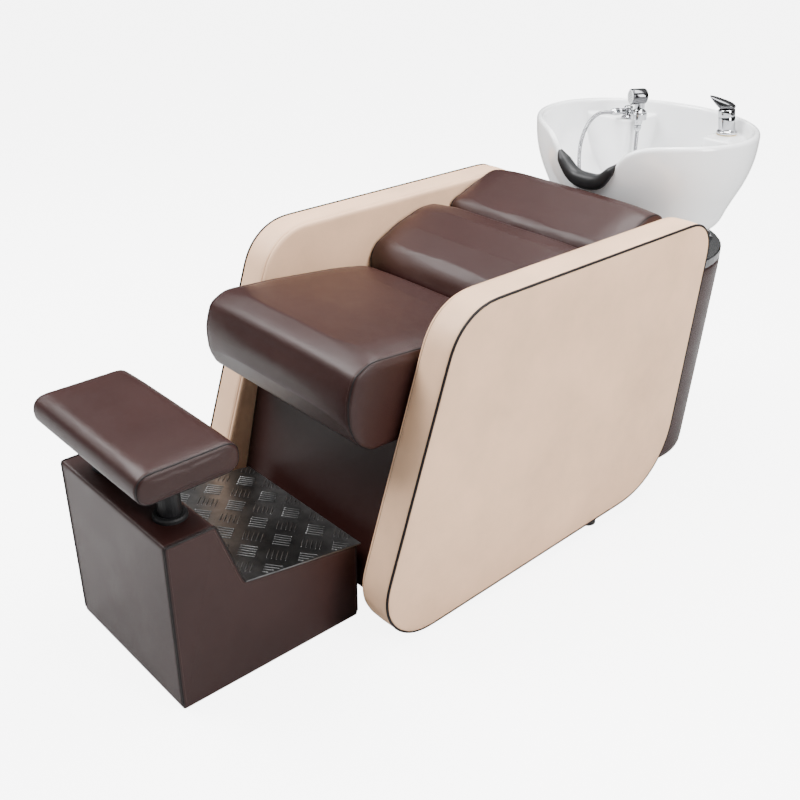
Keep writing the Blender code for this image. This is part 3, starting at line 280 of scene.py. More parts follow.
# ---- shapes -------------------------------------------------------------------------------------------
def hermite(a, b, slope_a, slope_b, t):
    return (
        (2 * t**3 - 3 * t**2 + 1) * a
        + (t**3 - 2 * t**2 + t) * slope_a
        + (3 * t**2 - 2 * t**3) * b
        + (t**3 - t**2) * slope_b
    )


def smooth_value(table, x):
    """Reads y at x from a short (x, y) table along a smooth curve through its points."""
    last = len(table) - 1
    x = min(max(x, table[0][0]), table[last][0])
    i = next(k for k in range(last) if x <= table[k + 1][0])

    def slope(k):
        low, high = table[max(k - 1, 0)], table[min(k + 1, last)]
        return (high[1] - low[1]) / (high[0] - low[0])

    span = table[i + 1][0] - table[i][0]
    share = (x - table[i][0]) / span
    return hermite(table[i][1], table[i + 1][1], slope(i) * span, slope(i + 1) * span, share)


def smooth_route(points, steps):
    """Points along one smooth curve through the given points."""
    points = [Vector(p) for p in points]
    last = len(points) - 1
    slopes = [(points[min(k + 1, last)] - points[max(k - 1, 0)]) / 2 for k in range(last + 1)]
    route = []
    for k in range(last):
        ends = points[k], points[k + 1], slopes[k], slopes[k + 1]
        route += [hermite(*ends, s / steps) for s in range(steps)]
    return route + [points[last]]


def evened(points, spacing, closed=True):
    """The same line with points at even distances."""
    points = [Vector(p) for p in points]
    if closed:
        points.append(points[0])
    lengths = [0.0]
    for a, b in zip(points, points[1:]):
        lengths.append(lengths[-1] + (b - a).length)
    count = max(int(round(lengths[-1] / spacing)), 3)
    made, k = [], 0
    for n in range(count if closed else count + 1):
        at = lengths[-1] * n / count
        while k < len(points) - 2 and lengths[k + 1] < at:
            k += 1
        span = max(lengths[k + 1] - lengths[k], 1e-9)
        made.append(points[k].lerp(points[k + 1], (at - lengths[k]) / span))
    return made


def relaxed(points, passes):
    """A closed line with its corners softened."""
    for _ in range(passes):
        following = points[1:] + points[:1]
        points = [p * 0.5 + (points[k - 1] + following[k]) * 0.25 for k, p in enumerate(points)]
    return points


def hull_outline(node):
    """The anticlockwise (y, z) outline of a CAD node that is convex seen along X."""
    seen = sorted({(round(v.co.y, 5), round(v.co.z, 5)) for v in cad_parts[node].data.vertices})
    outline = [Vector(seen[k]) for k in geometry.convex_hull_2d([Vector(p) for p in seen])]
    area = sum(a.x * b.y - b.x * a.y for a, b in zip(outline, outline[1:] + outline[:1]))
    return outline if area > 0 else outline[::-1]


def outward(outline):
    """Unit normals of an anticlockwise (y, z) outline."""
    normals = []
    for k in range(len(outline)):
        run = outline[(k + 1) % len(outline)] - outline[k - 1]
        normals.append(Vector((run.y, -run.x)).normalized())
    return normals


def put(name, bm, material, sharp=None):
    """Turns a bmesh into a smooth object with outward faces."""
    bmesh.ops.recalc_face_normals(bm, faces=bm.faces)
    mesh = bpy.data.meshes.new(name)
    bm.to_mesh(mesh)
    bm.free()
    mesh.shade_smooth()
    if sharp:
        mesh.set_sharp_from_angle(angle=math.radians(sharp))
    mesh.materials.append(material)
    thing = bpy.data.objects.new(name, mesh)
    bpy.context.collection.objects.link(thing)
    return thing


def skin(bm, rings, caps=True):
    """Joins rings of equal vertex counts into one surface, each ring closed on itself."""
    made = [[bm.verts.new(point) for point in ring] for ring in rings]
    size = len(made[0])
    for low, high in zip(made, made[1:]):
        for i in range(size):
            j = (i + 1) % size
            bm.faces.new((low[i], low[j], high[j], high[i]))
    if caps:
        bm.faces.new(made[0])
        bm.faces.new(made[-1])
    return made


def circle(radius, height, sides, turn=None):
    """A level ring about Z, placed by a matrix."""
    angles = (math.tau * k / sides for k in range(sides))
    points = [Vector((radius * math.cos(a), radius * math.sin(a), height)) for a in angles]
    return [turn @ p for p in points] if turn else points


def loft(name, rings, material, sharp=None):
    bm = bmesh.new()
    skin(bm, rings)
    return put(name, bm, material, sharp)


def turned(name, profile, material, steps=56, sharp=32, turn=None):
    """A (radius, height) profile turned about Z, then placed by a matrix."""
    bm = bmesh.new()
    solid = profile[0][0] < 1e-9 and profile[-1][0] < 1e-9
    rings = [circle(r, z, steps) for r, z in profile]
    if solid:
        skin(bm, rings)
    else:
        skin(bm, rings + rings[:1], caps=False)
    bmesh.ops.remove_doubles(bm, verts=bm.verts, dist=1e-6)
    if turn is not None:
        bmesh.ops.transform(bm, matrix=turn, verts=bm.verts)
    return put(name, bm, material, sharp)


def frames_along(points, closed=False):
    """A side and an up direction at every point of a line, turning as little as it can."""
    count = len(points)
    runs = []
    for k in range(count):
        ahead = points[(k + 1) % count] if closed else points[min(k + 1, count - 1)]
        behind = points[k - 1] if closed else points[max(k - 1, 0)]
        runs.append((ahead - behind).normalized())
    side = runs[0].orthogonal().normalized()
    made = []
    for run in runs:
        side = (side - run * side.dot(run)).normalized()
        made.append((side, run.cross(side)))
    return made


def tube(name, points, radius, material, sides=12, closed=False):
    """A round tube along a line. The radius may be a function of the point's number."""
    points = [Vector(p) for p in points]
    rings = []
    for k, (point, (side, up)) in enumerate(zip(points, frames_along(points, closed))):
        size = radius(k) if callable(radius) else radius
        rings.append([
            point + (side * math.cos(math.tau * s / sides) + up * math.sin(math.tau * s / sides)) * size
            for s in range(sides)
        ])
    bm = bmesh.new()
    if closed:
        skin(bm, rings + rings[:1], caps=False)
        bmesh.ops.remove_doubles(bm, verts=bm.verts, dist=1e-6)
    else:
        skin(bm, rings)
    return put(name, bm, material)


def settle(thing):
    """Bakes an object's modifiers into its mesh."""
    graph = bpy.context.evaluated_depsgraph_get()
    mesh = bpy.data.meshes.new_from_object(thing.evaluated_get(graph))
    thing.modifiers.clear()
    thing.data = mesh
    return thing


def combine(thing, other, operation="DIFFERENCE"):
    modifier = thing.modifiers.new(other.name, "BOOLEAN")
    modifier.operation = operation
    modifier.object = other
    settle(thing)
    bpy.data.objects.remove(other)
    return thing


def remesh(thing, voxel, smoothing=0):
    modifier = thing.modifiers.new("voxels", "REMESH")
    modifier.mode = "VOXEL"
    modifier.voxel_size = voxel
    modifier.use_smooth_shade = True
    if smoothing:
        softer = thing.modifiers.new("soften", "SMOOTH")
        softer.iterations = smoothing
    return settle(thing)


def coordinates(mesh):
    found = np.empty(len(mesh.vertices) * 3, np.float32)
    mesh.vertices.foreach_get("co", found)
    return found.reshape(-1, 3)


def write_coordinates(mesh, found):
    mesh.vertices.foreach_set("co", np.asarray(found, np.float32).ravel())
    mesh.update()


def vertex_normals(mesh):
    found = np.empty(len(mesh.vertices) * 3, np.float32)
    mesh.vertex_normals.foreach_get("vector", found)
    return found.reshape(-1, 3)


def crease(thing, line, width, depth):
    """Presses a soft groove into a mesh along a line of points near its surface."""
    line = np.array([tuple(p) for p in line], np.float32)
    found, normals = coordinates(thing.data), vertex_normals(thing.data)
    near = np.full(len(found), 1e9, np.float32)
    for start in range(0, len(line), 64):
        part = line[start:start + 64]
        gaps = ((found[:, None, :] - part[None, :, :]) ** 2).sum(2)
        near = np.minimum(near, gaps.min(1))
    push = depth * np.exp(-near / width**2)
    write_coordinates(thing.data, found - normals * push[:, None])


def on_surface(thing, line):
    """The nearest (point, normal) on a mesh for each point of a line."""
    mesh = thing.data
    tree = BVHTree.FromPolygons([v.co for v in mesh.vertices], [p.vertices for p in mesh.polygons])
    hits = [tree.find_nearest(Vector(p)) for p in line]
    return [(hit[0], hit[1]) for hit in hits]


def laid_on(thing, line):
    """A line moved onto a mesh."""
    return [hit[0] for hit in on_surface(thing, line)]


STITCH_PITCH, STITCH_LENGTH, THREAD, THREAD_LIFT = 0.0058, 0.0042, 0.0005, 0.0001


def stitching(name, thing, line, material):
    """A row of short thread stitches that follows a line on a surface."""
    hits = on_surface(thing, evened(line, STITCH_PITCH, closed=False))
    bm = bmesh.new()
    for k in range(len(hits) - 1):
        point, normal = hits[k]
        run = (hits[k + 1][0] - point).normalized()
        side = run.cross(normal).normalized()
        rings = []
        for along, size in ((-0.5, 0.35), (-0.36, 0.9), (0.36, 0.9), (0.5, 0.35)):
            lift = THREAD_LIFT - (1 - size) * THREAD * 0.6
            centre = point + run * along * STITCH_LENGTH + normal * lift
            rings.append([
                centre + (side * math.cos(a) * 1.25 + normal * math.sin(a)) * THREAD * size
                for a in (math.tau * s / 6 for s in range(6))
            ])
        skin(bm, rings)
    return put(name, bm, material)


def dress(piece, body, slot, *nodes, pad=None):
    """Hangs a piece on the body it rides on and hides the CAD parts it stands for. What it's made of (slot)
    is not used.
    """
    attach(piece, body)
    if nodes:
        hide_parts(*nodes)
    return piece


# ---- upholstery ---------------------------------------------------------------------------------------
PANEL_CROWN = 0.005
PANEL_EDGE = (                     # across the panel's edge from its outer face: (depth, inset)
    (0.0000, 0.0085), (0.0004, 0.0058), (0.0014, 0.0036), (0.0026, 0.0030), (0.0044, 0.0022),
    (0.0056, 0.0008), (0.0080, -0.0002), (0.0180, -0.0012), (0.0430, -0.0018), (0.0640, -0.0012),
    (0.0740, -0.0004), (0.0772, 0.0008), (0.0783, 0.0026), (0.0788, 0.0036), (0.0793, 0.0026),
    (0.0804, 0.0010), (0.0825, 0.0016), (0.0848, 0.0034), (0.0863, 0.0062), (0.0870, 0.0100),
)
PIPING_RADIUS, PIPING_DEPTH, PIPING_INSET = 0.0029, 0.0030, 0.0012
PANEL_SEAM_RADIUS, PANEL_SEAM_DEPTH, PANEL_SEAM_INSET = 0.0009, 0.0788, 0.0030
PANEL_STITCH_DEPTH, PANEL_STITCH_INSET = 0.0725, -0.0005
FACE_SHARES = (0.985, 0.96, 0.92, 0.86, 0.78, 0.68, 0.55, 0.40, 0.22, 0.08)


def level_ring(x, outline):
    return [(x, p.x, p.y) for p in outline]


def face_rings(outline, x, out, crown, reach=0.045):
    """Rings from a face's edge to its middle, swelling by crown within reach of the edge."""
    centre = sum(outline, Vector((0, 0))) / len(outline)
    radius = sum((p - centre).length for p in outline) / len(outline)
    rings = []
    for share in FACE_SHARES:
        swell = crown * (1 - math.exp(-(1 - share) * radius / reach))
        rings.append(level_ring(x + out * swell, [centre + (p - centre) * share for p in outline]))
    return rings


def make_panel(side, looks):
    """Padded side panel: crowned faces, a banded edge, piping round its outer face and a seam inside."""
    node = f"panel_{side}"
    low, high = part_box(node)
    sign = 1 if side == "right" else -1
    outer = high.x if sign > 0 else low.x
    inner = low.x if sign > 0 else high.x
    outline = relaxed(evened(hull_outline(node), 0.006), 10)
    normals = outward(outline)

    def moved(inset):
        return [p - n * inset for p, n in zip(outline, normals)]

    edge = [level_ring(outer - sign * depth, moved(inset)) for depth, inset in PANEL_EDGE]
    outside = face_rings(moved(PANEL_EDGE[0][1]), outer, sign, PANEL_CROWN)
    inside = face_rings(moved(PANEL_EDGE[-1][1]), inner, -sign, 0.0)
    cover = loft(f"panel_cover_{side}", outside[::-1] + edge + inside, looks["cream"])
    dress(cover, "frame", "cream_leather", node, pad=0.85)

    piping_line = level_ring(outer - sign * PIPING_DEPTH, moved(PIPING_INSET))
    piping = tube(f"panel_piping_{side}", piping_line, PIPING_RADIUS, looks["piping"], 12, closed=True)
    dress(piping, "frame", "brown_leather")
    seam_line = level_ring(outer - sign * PANEL_STITCH_DEPTH, moved(PANEL_STITCH_INSET))
    seam = stitching(f"panel_stitches_{side}", cover, seam_line + seam_line[:1], looks["cream_thread"])
    dress(seam, "frame", "cream_leather")
    cord_line = level_ring(outer - sign * PANEL_SEAM_DEPTH, moved(PANEL_SEAM_INSET))
    cord = tube(f"panel_seam_{side}", cord_line, PANEL_SEAM_RADIUS, looks["piping"], 6, closed=True)
    dress(cord, "frame", "brown_leather")


def cushion_form(name, outline, half_width, edge, crown, bulge, material, flat_sides=False, steps=30):
    """A closed crowned pad: an outline carried across X, rounded at its ends and swollen in between."""
    normals = outward(outline)
    centre = sum(outline, Vector((0, 0))) / len(outline)
    lift = [max(n.y, 0.0) + 0.4 * max(-n.x, 0.0) * (n.y > -0.5) for n in normals]
    half = []
    for share in () if flat_sides else (0.10, 0.30, 0.50, 0.68, 0.83, 0.94):
        ring = [centre + (p - n * edge - centre) * share for p, n in zip(outline, normals)]
        half.append(level_ring(half_width + bulge * (1 - share**2), ring))
    for k in range(6):
        turn = math.pi / 2 * k / 5
        inset = edge * (1 - math.sin(turn))
        ring = [p - n * inset for p, n in zip(outline, normals)]
        half.append(level_ring(half_width - edge * (1 - math.cos(turn)), ring))
    body = half_width - edge
    for k in range(steps - 1, 0, -1):
        x = body * k / steps
        swell = crown * (1 - (k / steps) ** 4)
        half.append(level_ring(x, [p + n * swell * w for p, n, w in zip(outline, normals, lift)]))
    middle = level_ring(0.0, [p + n * crown * w for p, n, w in zip(outline, normals, lift)])
    mirrored = [[(-x, y, z) for x, y, z in ring] for ring in half]
    return loft(name, half + [middle] + mirrored[::-1], material)


def evened_out(mesh, values, passes):
    """Blends each vertex's value with those of its neighbours."""
    edges = np.empty(len(mesh.edges) * 2, np.int32)
    mesh.edges.foreach_get("vertices", edges)
    first, second = edges.reshape(-1, 2).T
    count = np.bincount(edges, minlength=len(values))[:, None]
    for _ in range(passes):
        total = np.zeros_like(values)
        np.add.at(total, first, values[second])
        np.add.at(total, second, values[first])
        values = values * 0.5 + total / count * 0.5
    return values


AIR_PRESSURE, CLOTH_FRAMES = 4.0, 15
SEAM_INSET, SEAM_WIDTH, SEAM_DEPTH, WELT_RADIUS = 0.0042, 0.0030, 0.0012, 0.0017
SEAM_TO_STITCHES = 0.0065
END_PLAY = 0.0022                  # how far a pad's end may stand out
SINK = 0.0014                      # the deepest a wrinkle goes below the pad's own form


def inflate(piece, cap):
    """Fills a pad with air as cloth, keeps what it adds to the pad's form within bounds, then refines it."""
    start = coordinates(piece.data)
    normals = vertex_normals(piece.data)
    cloth = piece.modifiers.new("cloth", "CLOTH")
    cloth.settings.use_pressure = True
    cloth.settings.uniform_pressure_force = AIR_PRESSURE
    cloth.settings.effector_weights.gravity = 0.0
    for step in range(1, CLOTH_FRAMES + 1):
        bpy.context.scene.frame_set(step)
    graph = bpy.context.evaluated_depsgraph_get()
    filled = bpy.data.meshes.new_from_object(piece.evaluated_get(graph))
    moved = coordinates(filled) - start
    rise = np.clip((moved * normals).sum(1), -SINK, cap)[:, None]
    rise = evened_out(piece.data, rise, 2)
    piece.modifiers.clear()
    write_coordinates(piece.data, start + normals * rise)
    bpy.data.meshes.remove(filled)
    bpy.context.scene.frame_set(1)
    finer = piece.modifiers.new("finer", "SUBSURF")
    finer.levels = finer.render_levels = 1
    return settle(piece)


def contain(piece, node, proud, sides):
    """Keeps a pad flat where it rests and clear of what is behind it: only its top and front stand proud."""
    found = coordinates(piece.data).astype(np.float64)
    outline = hull_outline(node)
    for a, b in zip(outline, outline[1:] + outline[:1]):
        run = (b - a).normalized()
        normal = np.array((run.y, -run.x))
        allowed = 0.0 if normal[1] < -0.3 or normal[0] > 0.8 else proud
        over = np.maximum((found[:, 1:] - np.array(tuple(a))) @ normal - allowed, 0.0)
        found[:, 1:] -= over[:, None] * normal
    found[:, 0] = np.clip(found[:, 0], -sides, sides)
    write_coordinates(piece.data, found)


def make_cushion(name, node, looks, crown, cap, body="frame", fill=0.8, proud=0.010, edge=0.006):
    """One leather cushion with boxed ends: a pressed seam, a fine welt and stitches near each end."""
    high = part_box(node)[1]
    outline = relaxed(evened(hull_outline(node), 0.007), 5)
    piece = cushion_form(name, outline, high.x, edge, crown, 0.0015, looks["brown"], steps=20)
    inflate(piece, cap)
    contain(piece, node, proud, high.x + END_PLAY)
    trims = []
    for side, sign in (("left", -1), ("right", 1)):
        edge_line = level_ring(sign * (high.x - SEAM_INSET), outline)
        seam_line = evened(laid_on(piece, edge_line + edge_line[:1]), 0.004, closed=False)
        crease(piece, seam_line, SEAM_WIDTH, SEAM_DEPTH)
        welt_line = laid_on(piece, seam_line)[:-1]
        trims.append(tube(f"{name}_seam_{side}", welt_line, WELT_RADIUS, looks["piping"], 8, closed=True))
        line = level_ring(sign * (high.x - SEAM_INSET - SEAM_TO_STITCHES), outline)
        trims.append(stitching(f"{name}_stitches_{side}", piece, line + line[:1], looks["brown_thread"]))
    dress(piece, body, "brown_leather", node, pad=fill)
    for trim in trims:
        dress(trim, body, "brown_leather")


def make_apron(looks):
    """The leather-covered board under the front of the seat."""
    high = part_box("front_apron")[1]
    outline = relaxed(evened(hull_outline("front_apron"), 0.003), 6)
    apron = cushion_form("apron_cover", outline, high.x, 0.004, 0.0, 0.0, looks["brown"])
    dress(apron, "frame", "brown_leather", "front_apron", pad=1.0)


# ---- footrest and leg rest ----------------------------------------------------------------------------
BOX_OUTLINE = (
    (-0.462, 0.000), (-0.462, 0.1870), (-0.742, 0.2325), (-0.795, 0.387), (-0.905, 0.387), (-0.905, 0.000),
)
BOX_WALL = 0.015
BOX_EDGE = 0.005
SLEEVE_HOLE = 0.0275
BOX_WELT_RADIUS, BOX_WELT_INSET = 0.0022, 0.0002
# the second pair sizes a thin dark cord inside each welt: a painted shade line for the seam's groove
SHADE_LINE_RADIUS, SHADE_LINE_INSET = 0.0009, 0.0056
BOX_STITCH_INSET, BOX_SIDE_STITCH_INSET = 0.0100, 0.007
TREAD_FRONT, TREAD_REAR = Vector((-0.7415, 0.2328)), Vector((-0.4520, 0.1857))
TREAD_THICKNESS = 0.003
TREAD_PITCH = 0.088                # between groups of bars that lie the same way
BAR_LENGTH, BAR_WIDTH, BAR_HEIGHT, BAR_GAP = 0.038, 0.0036, 0.0014, 0.0098
BARS = 5
BAR_MARGIN = 0.003                 # the sheet's plain border
BAR_STEPS, FEWEST_STEPS = 19, 12   # steps in half a bar, and the fewest of all a cut bar keeps


def drum(name, radius, start, end, material):
    """A closed round bar, used as a cutter or a plain fitting."""
    return tube(name, [start, Vector(start).lerp(Vector(end), 0.5), end], radius, material, 32)


def make_box_cover(looks):
    """Leather over the footrest box: soft edges, a seam with a thin dark cord beside it as painted shade, and
    stitches round both sides, open below.
    """
    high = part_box("footrest_box")[1]
    outline = relaxed(evened([Vector(p) for p in BOX_OUTLINE], 0.004), 3)
    cover = cushion_form("box_cover", outline, high.x, BOX_EDGE, 0.0, 0.0, looks["brown"], flat_sides=True)
    bm = bmesh.new()
    bm.from_mesh(cover.data)
    under = [f for f in bm.faces if f.calc_center_median().z < 0.0012 and f.normal.z < -0.7]
    bmesh.ops.delete(bm, geom=under, context="FACES")
    bm.to_mesh(cover.data)
    bm.free()
    shell = cover.modifiers.new("wall", "SOLIDIFY")
    shell.thickness = BOX_WALL
    shell.offset = -1.0
    settle(cover)
    for side in ("left", "right"):
        sleeve_low, sleeve_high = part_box(f"post_sleeve_{side}")
        x, y = (sleeve_low.x + sleeve_high.x) / 2, (sleeve_low.y + sleeve_high.y) / 2
        ends = (x, y, high.z - 0.05), (x, y, high.z + 0.02)
        combine(cover, drum("hole", SLEEVE_HOLE, *ends, looks["brown"]))
    cover.data.shade_smooth()
    cover.data.set_sharp_from_angle(angle=math.radians(50))
    dress(cover, "frame", "brown_leather", "footrest_box", pad=1.0)
    above = [p.y > 0.004 for p in outline]
    first = next(k for k in range(len(outline)) if above[k] and not above[k - 1])
    ordered = (outline[first:] + outline[:first])[:sum(above)]
    inner = [p - n * BOX_SIDE_STITCH_INSET for p, n in zip(ordered, outward(ordered))][2:-2]
    ordered = ordered[2:-2]
    for side, sign in (("left", -1), ("right", 1)):
        def inwards(distance):
            return level_ring(sign * (high.x - distance), ordered)

        welt_line = laid_on(cover, inwards(BOX_WELT_INSET))
        shade_line = laid_on(cover, inwards(SHADE_LINE_INSET))
        side_line = level_ring(sign * high.x, inner)
        thread = looks["brown_thread"]
        trims = (
            tube(f"box_seam_{side}", welt_line, BOX_WELT_RADIUS, looks["piping"], 8),
            # a thin dark cord beside the welt: painted shade of the seam's groove
            tube(f"box_shade_line_{side}", shade_line, SHADE_LINE_RADIUS, looks["piping"], 6),
            stitching(f"box_stitches_{side}", cover, inwards(BOX_STITCH_INSET), thread),
            stitching(f"box_side_stitches_{side}", cover, side_line, thread),
        )
        for trim in trims:
            dress(trim, "frame", "brown_leather")


def bar_rings(centre, along, across, up, length):
    """One lens-shaped raised bar."""
    rings = []
    for size, height in ((1.0, -0.0002), (0.82, BAR_HEIGHT * 0.6), (0.45, BAR_HEIGHT)):
        ring = []
        for k in range(12):
            angle = math.tau * k / 12
            reach = length / 2 * (size if size > 0.9 else 0.9 + 0.1 * size)
            sideways = across * BAR_WIDTH / 2 * size * math.sin(angle)
            ring.append(centre + along * reach * math.cos(angle) + sideways + up * height)
        rings.append(ring)
    return rings


def make_tread(looks):
    """Groups of five raised bars, turned a quarter from one group to the next, over the CAD sheet."""
    low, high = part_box("tread_plate")
    run = (TREAD_REAR - TREAD_FRONT).normalized()
    depth = (TREAD_REAR - TREAD_FRONT).length
    slope = Vector((0, run.x, run.y))
    up = Vector((0, -run.y, run.x))
    origin = Vector((low.x, TREAD_FRONT.x, TREAD_FRONT.y)) + up * TREAD_THICKNESS
    width = high.x - low.x
    bm = bmesh.new()
    columns, rows = int(width / TREAD_PITCH * 2) + 2, int(depth / TREAD_PITCH * 2) + 2
    for i in range(-1, columns):
        for j in range(-1, rows):
            if (i + j) % 2:
                continue
            turn = 1 if i % 2 else -1
            along = (Vector((1, 0, 0)) + slope * turn).normalized()
            across = (Vector((1, 0, 0)) - slope * turn).normalized()
            middle = Vector((1, 0, 0)) * (i + 0.4) * TREAD_PITCH / 2 + slope * (j + 0.5) * TREAD_PITCH / 2
            for n in range(BARS):
                centre = middle + across * (n - (BARS - 1) / 2) * BAR_GAP
                inside = []
                for k in range(-BAR_STEPS, BAR_STEPS + 1):
                    spot = centre + along * BAR_LENGTH / 2 * k / BAR_STEPS
                    across_ok = BAR_MARGIN < spot.x < width - BAR_MARGIN
                    if across_ok and BAR_MARGIN < spot.dot(slope) < depth - BAR_MARGIN:
                        inside.append(k / BAR_STEPS)
                if len(inside) < FEWEST_STEPS:
                    continue
                share = (inside[-1] - inside[0]) / 2
                centre = centre + along * BAR_LENGTH / 2 * (inside[-1] + inside[0]) / 2
                skin(bm, bar_rings(origin + centre, along, across, up, BAR_LENGTH * share))
    bars = put("tread_bars", bm, looks["tread_bars"])
    dress(bars, "frame", "tread_plate")


# ---- column -------------------------------------------------------------------------------------------
COLUMN_FLOOR, COLUMN_TOP = (0.605, 0.243), (0.643, 0.2615)
COLUMN_FRONT, COLUMN_WALL = 0.385, 0.015


def half_round(centre_y, radius, front, z, sides=72):
    """A U in plan: straight legs from the front, and a half circle round the back."""
    legs = 10
    points = [(radius, front + (centre_y - front) * k / legs, z) for k in range(legs)]
    for k in range(sides + 1):
        angle = math.pi * k / sides
        points.append((radius * math.cos(angle), centre_y + radius * math.sin(angle), z))
    return points + [(-x, y, z) for x, y, z in points[:legs][::-1]]


def column_ring(height, top, grow=0.0):
    share = height / top
    centre_y = COLUMN_FLOOR[0] + (COLUMN_TOP[0] - COLUMN_FLOOR[0]) * share
    radius = COLUMN_FLOOR[1] + (COLUMN_TOP[1] - COLUMN_FLOOR[1]) * share
    return half_round(centre_y, radius + grow, COLUMN_FRONT, height)


def make_column(looks):
    """Leather stretched round the half-round column and turned in at its foot and head."""
    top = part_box("column_shell")[1].z
    rings = []
    for height, grow in (
        (0.0, -0.0035), (0.0015, -0.0012), (0.006, 0.0), (0.030, 0.0006), (0.120, 0.0008), (0.270, 0.0010),
        (0.420, 0.0008), (0.516, 0.0006), (0.539, 0.0), (0.5432, -0.0016), (top, -0.0040),
    ):
        outer = column_ring(height, top, grow)
        inner = column_ring(height, top, -COLUMN_WALL)
        rings.append(outer + inner[::-1])
    bm = bmesh.new()
    made = skin(bm, rings, caps=False)
    count = len(made[0])
    for ring in (made[0], made[-1]):
        for k in range(count // 2 - 1):
            bm.faces.new((ring[k], ring[k + 1], ring[count - 2 - k], ring[count - 1 - k]))
    cover = put("column_cover", bm, looks["brown"], 50)
    dress(cover, "frame", "brown_leather", "column_shell")
    thread = stitching("column_stitches", cover, column_ring(0.0180, top, 0.0006), looks["brown_thread"])
    dress(thread, "frame", "brown_leather")


# ---- basin --------------------------------------------------------------------------------------------
def rim_height(x, in_front):
    """Height of the rim. In front it drops into a U for the neck."""
    if not in_front:
        return BOWL_RIM_Z
    return BOWL_RIM_Z - NECK_DEPTH / (1 + (abs(x) / NECK_HALF_WIDTH) ** NECK_SHARPNESS)


def bowl_point(angle, share, z):
    """A point on the basin. The angle is 0 in front, in the middle of the neck cut-out."""
    return Vector((BOWL_HALF_X * share * math.sin(angle), BOWL_Y - BOWL_HALF_Y * share * math.cos(angle), z))


def bowl_angles(steps=240):
    return [math.tau * k / steps for k in range(steps)]


def bowl_rings(outer_rows=26, lip_rows=12, inner_rows=26):
    columns = []
    for angle in bowl_angles():
        in_front = math.cos(angle) > 0
        rim = rim_height(BOWL_HALF_X * math.sin(angle), in_front)
        rim = rim_height(BOWL_HALF_X * smooth_value(BOWL_OUTSIDE, rim) * math.sin(angle), in_front)
        lip = rim - LIP_HEIGHT
        outside, inside = smooth_value(BOWL_OUTSIDE, lip), smooth_value(BOWL_INSIDE, lip)
        column = []
        for k in range(outer_rows):
            z = BOWL_BASE_Z + (lip - BOWL_BASE_Z) * (k / outer_rows) ** 1.4
            column.append(bowl_point(angle, smooth_value(BOWL_OUTSIDE, z), z))
        for k in range(lip_rows + 1):
            turn = math.pi * k / lip_rows
            share = (outside + inside) / 2 + (outside - inside) / 2 * math.cos(turn)
            column.append(bowl_point(angle, share, lip + LIP_HEIGHT * math.sin(turn)))
        for k in range(1, inner_rows + 1):
            z = BOWL_FLOOR_Z + (lip - BOWL_FLOOR_Z) * (1 - k / inner_rows) ** 2.0
            column.append(bowl_point(angle, smooth_value(BOWL_INSIDE, z), z))
        columns.append(column)
    return [[column[k] for column in columns] for k in range(len(columns[0]))]


def plinth_outline(sign):
    """Plan of the tap plinth at one rear corner, rounded on the side that shows."""
    points = []
    for k in range(9):
        angle = math.pi / 2 * k / 8
        x = PLINTH_X + PLINTH_CORNER * (1 - math.cos(angle))
        points.append((sign * x, PLINTH_Y + PLINTH_CORNER * (1 - math.sin(angle))))
    far_x, far_y = PLINTH_REACH
    return points + [(sign * far_x, PLINTH_Y), (sign * far_x, far_y), (sign * PLINTH_X, far_y)]


def make_bowl(looks):
    """The ceramic shell with its two plinths, under one skin so that every edge is glazed soft."""
    glaze = looks["ceramic"]
    bowl = loft("basin_ceramic", bowl_rings(), glaze)
    for sign in (-1, 1):
        levels = [[(x, y, z) for x, y in plinth_outline(sign)] for z in (0.60, PLINTH_TOP)]
        plinth = loft("plinth", levels, glaze)
        bounds = []
        for z in (0.634, 0.645, 0.660, 0.680, 0.705, 0.735, 0.770, 0.810, 0.850):
            share = (smooth_value(BOWL_OUTSIDE, z) + smooth_value(BOWL_INSIDE, z)) / 2
            bounds.append([bowl_point(angle, share, z) for angle in bowl_angles(96)])
        combine(plinth, loft("bounds", bounds, glaze), "INTERSECT")
        combine(bowl, plinth, "UNION")
    combine(bowl, drum("drain", DRAIN_RADIUS, (0, BOWL_Y, 0.58), (0, BOWL_Y, 0.70), glaze))
    taps = ((TAP, MIXER_HOLE, MIXER_POCKET), (SPRAY_BASE, SPRAY_HOLE, SPRAY_POCKET))
    for (x, y, _), hole, pocket in taps:
        combine(bowl, drum("hole", hole, (x, y, 0.70), (x, y, 0.87), glaze))
        combine(bowl, drum("pocket", pocket, (x, y, 0.55), (x, y, PLINTH_TOP - DECK), glaze))
    remesh(bowl, 0.0030, 5)
    dress(bowl, "basin", "ceramic", "bowl")


def lip_centre(x):
    z = rim_height(x, True)
    share = (smooth_value(BOWL_OUTSIDE, z - LIP_HEIGHT) + smooth_value(BOWL_INSIDE, z - LIP_HEIGHT)) / 2
    depth = math.sqrt(1 - (x / (BOWL_HALF_X * share)) ** 2)
    return Vector((x, BOWL_Y - BOWL_HALF_Y * share * depth, z))


